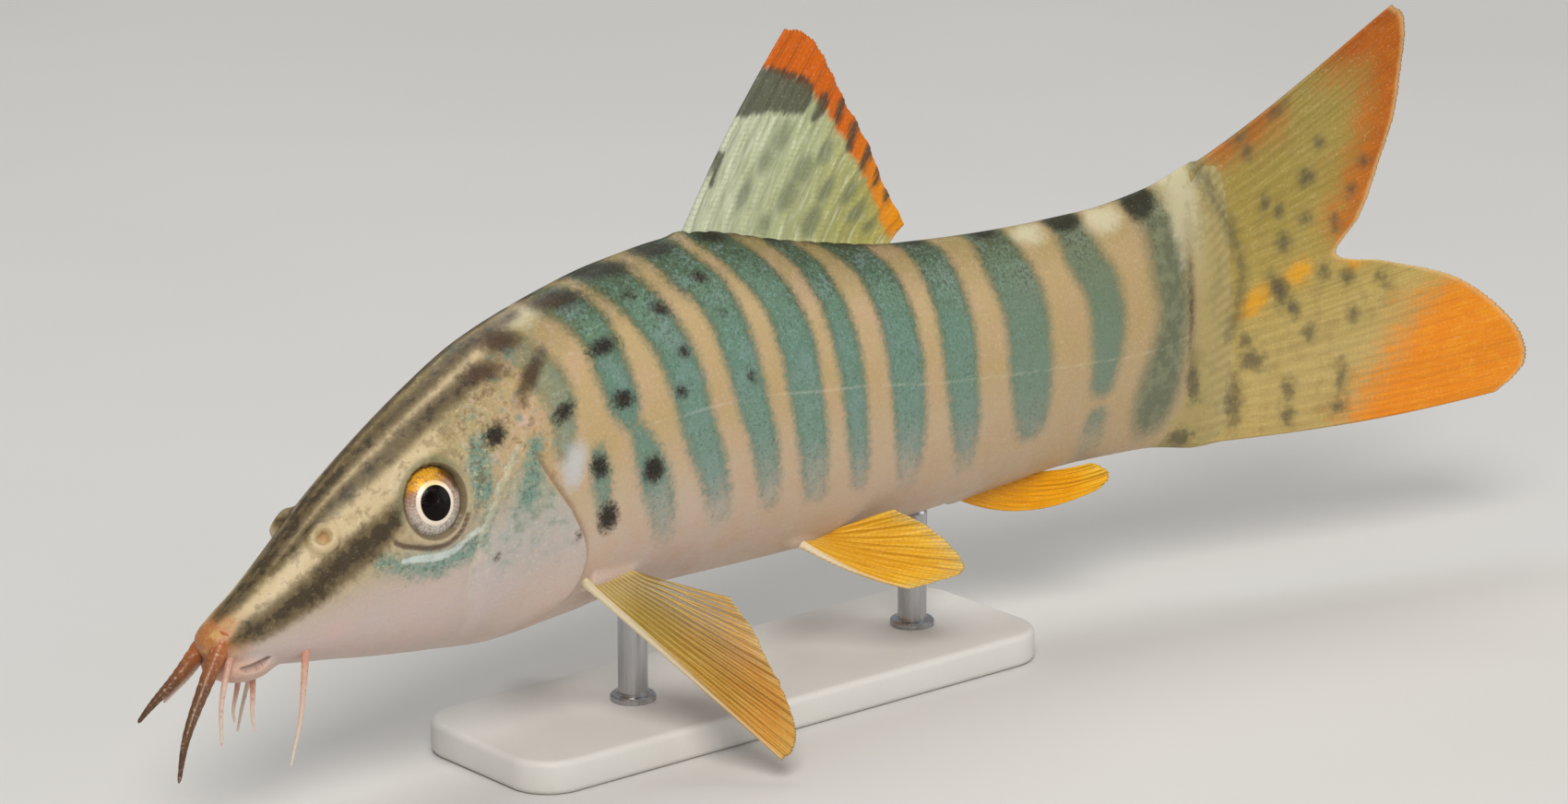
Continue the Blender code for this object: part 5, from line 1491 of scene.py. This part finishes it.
def eye_finish(look):
    """The eyeball's front: a streaked iris, a pale ring and the dark pupil."""
    finish = Finish("loach_eye", IOR=1.22, Coat_Weight=0.08, Coat_Roughness=0.04, Coat_IOR=1.3)
    rise, mix, noise = finish.rise, finish.mix, finish.noise
    across, up = finish.kept("eye_x") + 0.22, finish.kept("eye_y")
    far = (across * across + up * up * 0.90) ** 0.5
    turn = finish.sum("ARCTAN2", up, across)
    grain = noise(0.12, 2.0, 0.6) - 0.5
    cloud = noise(0.6, 3.0, 0.6) - 0.5
    streak = finish.waves(turn * 46.0 + cloud * 9.0, -0.2)
    iris = finish.ramp(
        (up * 0.98 + across * 0.17) * 0.16 + 0.48 + cloud * 0.22, (0.0, 214, 214, 206),
        (0.2, 212, 204, 194), (0.52, 204, 182, 168), (0.70, 178, 132, 96),
        (0.79, 236, 168, 34), (0.92, 240, 172, 34), (1.0, 140, 96, 40))
    iris.coat(streak * 0.25, 120, 92, 70)
    iris.coat(rise(grain, 0.06, 0.28) * 0.45, 236, 222, 200)
    iris.coat(rise(cloud, -0.04, -0.18) * 0.55, 134, 114, 92)
    iris.coat(rise(noise(0.22, 2.0, 0.6), 0.46, 0.36) * 0.6, 136, 104, 82)
    upper_rear = rise(turn, -0.3, 0.1) * rise(turn, 1.0, 0.7) * rise(far + cloud * 0.6, 2.1, 2.5)
    iris.coat(upper_rear * 0.85, 84, 50, 22)
    base = mix(rise(far + cloud * 0.3, 2.62, 3.0) * 0.68, iris, linear(98, 82, 52))
    pupil_edge = look.pupil / MM / 2
    ring_edge = pupil_edge + look.pupil_ring / MM
    ring = rise(far + cloud * 0.10, ring_edge + 0.10, ring_edge)
    ring_colour = mix(rise(up + across * 0.3, 1.0, 1.8) * 0.6, linear(240, 226, 208), linear(240, 196, 86))
    base.lay(ring, ring_colour)
    pupil = rise(far, pupil_edge + 0.06, pupil_edge - 0.02)
    base.lay(pupil, (0.0030, 0.0008, 0.0002, 1.0))
    silvery = rise(far, pupil_edge, pupil_edge + 0.5, 0.0, 0.25) * rise(far, 3.0, 2.7)
    return finish.surface(
        Base_Color=base, Metallic=silvery, Roughness=rise(far, pupil_edge, pupil_edge + 0.2, 0.08, 0.36),
        Normal=finish.bump(streak * 0.5 + grain, 0.02, 0.5))


def barbel_finish(name, root, middle, tip):
    """A barbel's finish, with its screen colours at root, middle and tip."""
    finish = Finish(
        name, Subsurface_Weight=0.2, Subsurface_Radius=(1.0, 0.5, 0.35), Subsurface_Scale=0.0008, IOR=1.38,
        Coat_Weight=0.25, Coat_Roughness=0.25)
    rise, noise = finish.rise, finish.noise
    cloud = noise(1.0, 3.0, 0.6) - 0.5
    base = finish.ramp(finish.kept("reach") + cloud * 0.35, (0.0, *root), (0.45, *middle), (1.0, *tip))
    base.coat(rise(noise(0.3, 2.0, 0.6), 0.56, 0.70) * 0.3, 236, 204, 160)
    base.coat(rise(noise(0.4, 2.0, 0.6), 0.44, 0.32) * 0.3, 120, 78, 52)
    return finish.surface(
        Base_Color=base, Roughness=rise(noise(0.5), 0.3, 0.7, 0.35, 0.5),
        Normal=finish.bump(cloud, 0.04, 0.6))


def base_finish(look):
    """Plain matt plastic of the stand's plate, faintly specked."""
    finish = Finish("stand_base", IOR=1.46)
    speck, cloud = finish.noise(0.5, 3.0, 0.7), finish.noise(9.0, 3.0, 0.5)
    colour = finish.mix(finish.rise(cloud, 0.3, 0.7) * 0.3, look.stand, linear(222, 219, 213))
    colour.coat(finish.rise(speck, 0.55, 0.8) * 0.2, 178, 172, 162)
    return finish.surface(
        Base_Color=colour, Roughness=finish.rise(cloud, 0.3, 0.7, 0.48, 0.60),
        Normal=finish.bump(speck, 0.02, 0.4))


def rod_finish():
    """Steel of the stand's rods, brushed along them."""
    finish = Finish("stand_rod", Metallic=1.0)
    brushed = finish.noise(0.35, 2.0, 0.5, (1.0, 1.0, 0.04))
    colour = finish.ramp(brushed, (0.3, 172, 172, 174), (0.7, 188, 188, 190))
    return finish.surface(
        Base_Color=colour, Roughness=finish.rise(brushed, 0.3, 0.7, 0.26, 0.34),
        Normal=finish.bump(brushed, 0.005, 0.3))


def floor_finish(look):
    """The studio's plain pale floor."""
    finish = Finish("studio_floor")
    cloud = finish.noise(60.0, 2.0, 0.5)
    colour = finish.mix(finish.rise(cloud, 0.3, 0.7) * 0.2, look.floor, linear(214, 212, 208))
    return finish.surface(Base_Color=colour, Roughness=finish.rise(cloud, 0.3, 0.7, 0.68, 0.74))


def dress(obj, material, slot, *nodes):
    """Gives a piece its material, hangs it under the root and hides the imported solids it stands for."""
    obj.data.materials.clear()
    obj.data.materials.append(material)
    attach(obj, "root")
    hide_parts(*nodes)


# The camera: where it looks, from which side and how far off
LOOK_AT, TURNED, RAISED, AWAY = (5.0, 0.0, 26.5), -40.0, 16.0, 455.0
LENS, SENSOR = 120.0, 36.0


def make_camera():
    """The camera at the photograph's viewing angle."""
    side, high = math.radians(TURNED), math.radians(RAISED)
    back = Vector((math.sin(side) * math.cos(high), -math.cos(side) * math.cos(high), math.sin(high)))
    right = Vector((0, 0, 1)).cross(back).normalized()
    data = bpy.data.cameras.new("camera")
    data.lens, data.sensor_width, data.sensor_fit = LENS, SENSOR, "HORIZONTAL"
    data.clip_start, data.clip_end = CLIP_START, CLIP_END
    camera = bpy.data.objects.new("camera", data)
    turned = Matrix((right, back.cross(right), back)).transposed().to_4x4()
    turned.translation = (Vector(LOOK_AT) + back * AWAY) * MM
    camera.matrix_world = turned
    bpy.context.scene.collection.objects.link(camera)
    bpy.context.scene.camera = camera


# Where the camera starts and stops seeing, in metres
CLIP_START, CLIP_END = 0.01, 20.0

# Each light: its place in metres, its power in watts, its width in metres and its colour
LIGHTS = {
    "key": ((-0.38, -0.50, 0.62), 5.2, 0.40, (1.0, 0.97, 0.93)),
    "fill": ((0.55, -0.55, 0.30), 1.3, 0.60, (1.0, 1.0, 1.0)),
    "top": ((0.10, 0.25, 0.75), 2.2, 0.50, (1.0, 1.0, 1.0)),
}


def make_light(name):
    """One soft round light, aimed where the camera looks."""
    place, power, size, colour = LIGHTS[name]
    data = bpy.data.lights.new(name, "AREA")
    data.shape, data.size, data.energy, data.color = "DISK", size, power, colour
    light = bpy.data.objects.new(name, data)
    aim = Vector(LOOK_AT) * MM - Vector(place)
    turned = aim.to_track_quat("-Z", "Y").to_matrix().to_4x4()
    light.matrix_world = Matrix.Translation(Vector(place)) @ turned
    bpy.context.scene.collection.objects.link(light)


# The studio's even light, and the floor's radius in metres and its sides
WORLD_COLOUR, WORLD_STRENGTH = (0.93, 0.96, 1.0, 1.0), 0.30
FLOOR_RADIUS, FLOOR_SIDES = 3.0, 96


def make_world():
    """Even light from all round, and colours that come out as named."""
    world = bpy.data.worlds.new("studio")
    world.use_nodes = True
    background = world.node_tree.nodes["Background"]
    background.inputs["Color"].default_value = WORLD_COLOUR
    background.inputs["Strength"].default_value = WORLD_STRENGTH
    bpy.context.scene.world = world
    bpy.context.scene.view_settings.view_transform = "Standard"


def colour_of(name, description, *screen):
    """A colour that a user may change, given as a screen shows it."""
    return bpy.props.FloatVectorProperty(
        name=name, description=description, size=4, subtype="COLOR", min=0.0, max=1.0,
        default=linear(*screen))


def length_of(name, description, millimetres, least, most):
    """A size that a user may change, given in millimetres."""
    return bpy.props.FloatProperty(
        name=name, description=description, default=millimetres * MM, min=least * MM, max=most * MM,
        precision=5, unit="LENGTH", subtype="DISTANCE")


class LoachLooks(bpy.types.PropertyGroup):
    """Sizes and colours of the dressed fish that a user would change."""

    bars: colour_of("Bars", "Bars of the flanks at mid height", 94, 127, 108)
    gaps: colour_of("Gaps", "Skin between the bars at mid height", 182, 156, 110)
    stripes: colour_of("Head stripes", "Long stripes of the head", 84, 68, 42)
    spots: colour_of("Spots", "Dark spots of the flanks", 24, 19, 14)
    snout: colour_of("Snout", "Tip of the snout", 176, 104, 48)
    tail: colour_of("Tail root", "Scales that run out on to the tail fin", 168, 151, 94)
    orange: colour_of("Fin orange", "Rear tip of the tail fin", 232, 132, 0)
    belly_fins: colour_of("Pelvic fins", "Web of the pelvic fins", 226, 160, 0)
    stand: colour_of("Stand", "Plate of the stand", 212, 209, 203)
    floor: colour_of("Floor", "Studio floor", 208, 206, 202)
    pupil: length_of("Pupil", "Width of the pupil", 2.84, 1.0, 5.0)
    pupil_ring: length_of("Pupil ring", "Width of the pale ring round the pupil", 0.32, 0.0, 1.0)
    grain: length_of("Skin grain", "Depth of the skin's fine grain", 0.035, 0.0, 0.2)


class LOACH_OT_skin(bpy.types.Operator):
    """Lay one skin over head, body and the root of the tail"""

    bl_idname = "loach.skin"
    bl_label = "Skin"

    def execute(self, context):
        dress(make_skin(), skin_finish(context.scene.loach), "skin", "head", "torso", "tail_peduncle")
        return {"FINISHED"}


class LOACH_OT_eyes(bpy.types.Operator):
    """Set the two eyes into the skin"""

    bl_idname = "loach.eyes"
    bl_label = "Eyes"

    def execute(self, context):
        finish = eye_finish(context.scene.loach)
        dress(make_eye("eye_left", -1), finish, "eye", "eye_left")
        dress(make_eye("eye_right", 1), finish, "eye", "eye_right")
        return {"FINISHED"}


class LOACH_OT_middle_fins(bpy.types.Operator):
    """Add the dorsal, tail and anal fins"""

    bl_idname = "loach.middle_fins"
    bl_label = "Dorsal, tail and anal fins"

    def execute(self, context):
        look = context.scene.loach
        dorsal_marks = {"dark": (marks_near, DORSAL_DARKS), "smudge": (patches_near, DORSAL_SMUDGES),
                        "glow": (marks_near, DORSAL_GLOWS)}
        dorsal = make_fin("dorsal_fin_soft", DORSAL_MAKE, dorsal_ray, dorsal_marks)
        dress(dorsal, dorsal_finish(), "fin", "dorsal_fin")
        caudal_marks = {"dark": (marks_near, CAUDAL_DARKS), "spot": (patches_near, CAUDAL_SPOTS),
                        "glow": (marks_near, CAUDAL_GLOWS), "gold": (patches_near, CAUDAL_GOLDS)}
        caudal = make_fin("caudal_fin_soft", CAUDAL_MAKE, caudal_ray, caudal_marks)
        dress(caudal, caudal_finish(look), "fin", "caudal_fin_upper_lobe", "caudal_fin_lower_lobe")
        dress(make_fin("anal_fin_soft", ANAL_MAKE, anal_ray), anal_finish(), "fin", "anal_fin")
        return {"FINISHED"}


class LOACH_OT_paired_fins(bpy.types.Operator):
    """Add the pectoral and pelvic fins on both sides"""

    bl_idname = "loach.paired_fins"
    bl_label = "Pectoral and pelvic fins"

    def execute(self, context):
        look = context.scene.loach
        pectoral, pelvic = pectoral_finish(), pelvic_finish(look)
        for word, side in (("left", -1), ("right", 1)):
            fin = make_fin("pectoral_fin_%s_soft" % word, PECTORAL_MAKE, pectoral_ray(side))
            dress(fin, pectoral, "fin", "pectoral_fin_" + word)
            fin = make_fin("pelvic_fin_%s_soft" % word, PELVIC_MAKE, pelvic_ray(side))
            dress(fin, pelvic, "fin", "pelvic_fin_" + word)
        return {"FINISHED"}


class LOACH_OT_barbels(bpy.types.Operator):
    """Add the eight barbels of snout and mouth"""

    bl_idname = "loach.barbels"
    bl_label = "Barbels"

    def execute(self, context):
        brown = barbel_finish("barbel_brown", (178, 100, 44), (104, 66, 38), (72, 54, 38))
        pale = barbel_finish("barbel_pale", (186, 124, 100), (206, 176, 158), (212, 198, 182))
        for name in BARBELS:
            dress(make_barbel(name), brown if "upper" in name else pale, "barbel", name)
        return {"FINISHED"}


class LOACH_OT_stand(bpy.types.Operator):
    """Add the display stand's plate and rods"""

    bl_idname = "loach.stand"
    bl_label = "Stand"

    def execute(self, context):
        dress(make_base(), base_finish(context.scene.loach), "stand_base", "stand_base")
        steel = rod_finish()
        for name, x in RODS.items():
            dress(make_rod(name, x), steel, "stand_rod", name)
        return {"FINISHED"}


class LOACH_OT_stage(bpy.types.Operator):
    """Set up the floor, the lights and the camera"""

    bl_idname = "loach.stage"
    bl_label = "Stage"

    def execute(self, context):
        deselect_all()
        bpy.ops.mesh.primitive_circle_add(vertices=FLOOR_SIDES, radius=FLOOR_RADIUS, fill_type="NGON")
        floor = context.object
        floor.name = floor.data.name = "studio_floor"
        floor.data.materials.append(floor_finish(context.scene.loach))
        make_world()
        for name in LIGHTS:
            make_light(name)
        make_camera()
        return {"FINISHED"}


OPERATORS = (
    LOACH_OT_skin, LOACH_OT_eyes, LOACH_OT_middle_fins, LOACH_OT_paired_fins, LOACH_OT_barbels,
    LOACH_OT_stand, LOACH_OT_stage,
)


class LOACH_PT_panel(bpy.types.Panel):
    """Pieces of the model and the sizes and colours they take"""

    bl_idname = "LOACH_PT_panel"
    bl_label = "Tiger loach"
    bl_space_type = "VIEW_3D"
    bl_region_type = "UI"
    bl_category = "Loach"

    def draw(self, context):
        for name in LoachLooks.__annotations__:
            self.layout.prop(context.scene.loach, name)
        for operator in OPERATORS:
            self.layout.operator(operator.bl_idname)


def register():
    """Makes the classes and the scene's sizes and colours known."""
    for cls in (LoachLooks,) + OPERATORS + (LOACH_PT_panel,):
        bpy.utils.register_class(cls)
    bpy.types.Scene.loach = bpy.props.PointerProperty(type=LoachLooks)


def unregister():
    """Takes back what register makes known."""
    del bpy.types.Scene.loach
    for cls in (LOACH_PT_panel,) + OPERATORS[::-1] + (LoachLooks,):
        bpy.utils.unregister_class(cls)


def main():
    register()
    bpy.ops.loach.skin()
    bpy.ops.loach.eyes()
    bpy.ops.loach.middle_fins()
    bpy.ops.loach.paired_fins()
    bpy.ops.loach.barbels()
    bpy.ops.loach.stand()
    bpy.ops.loach.stage()


if __name__ == "__main__":
    main()
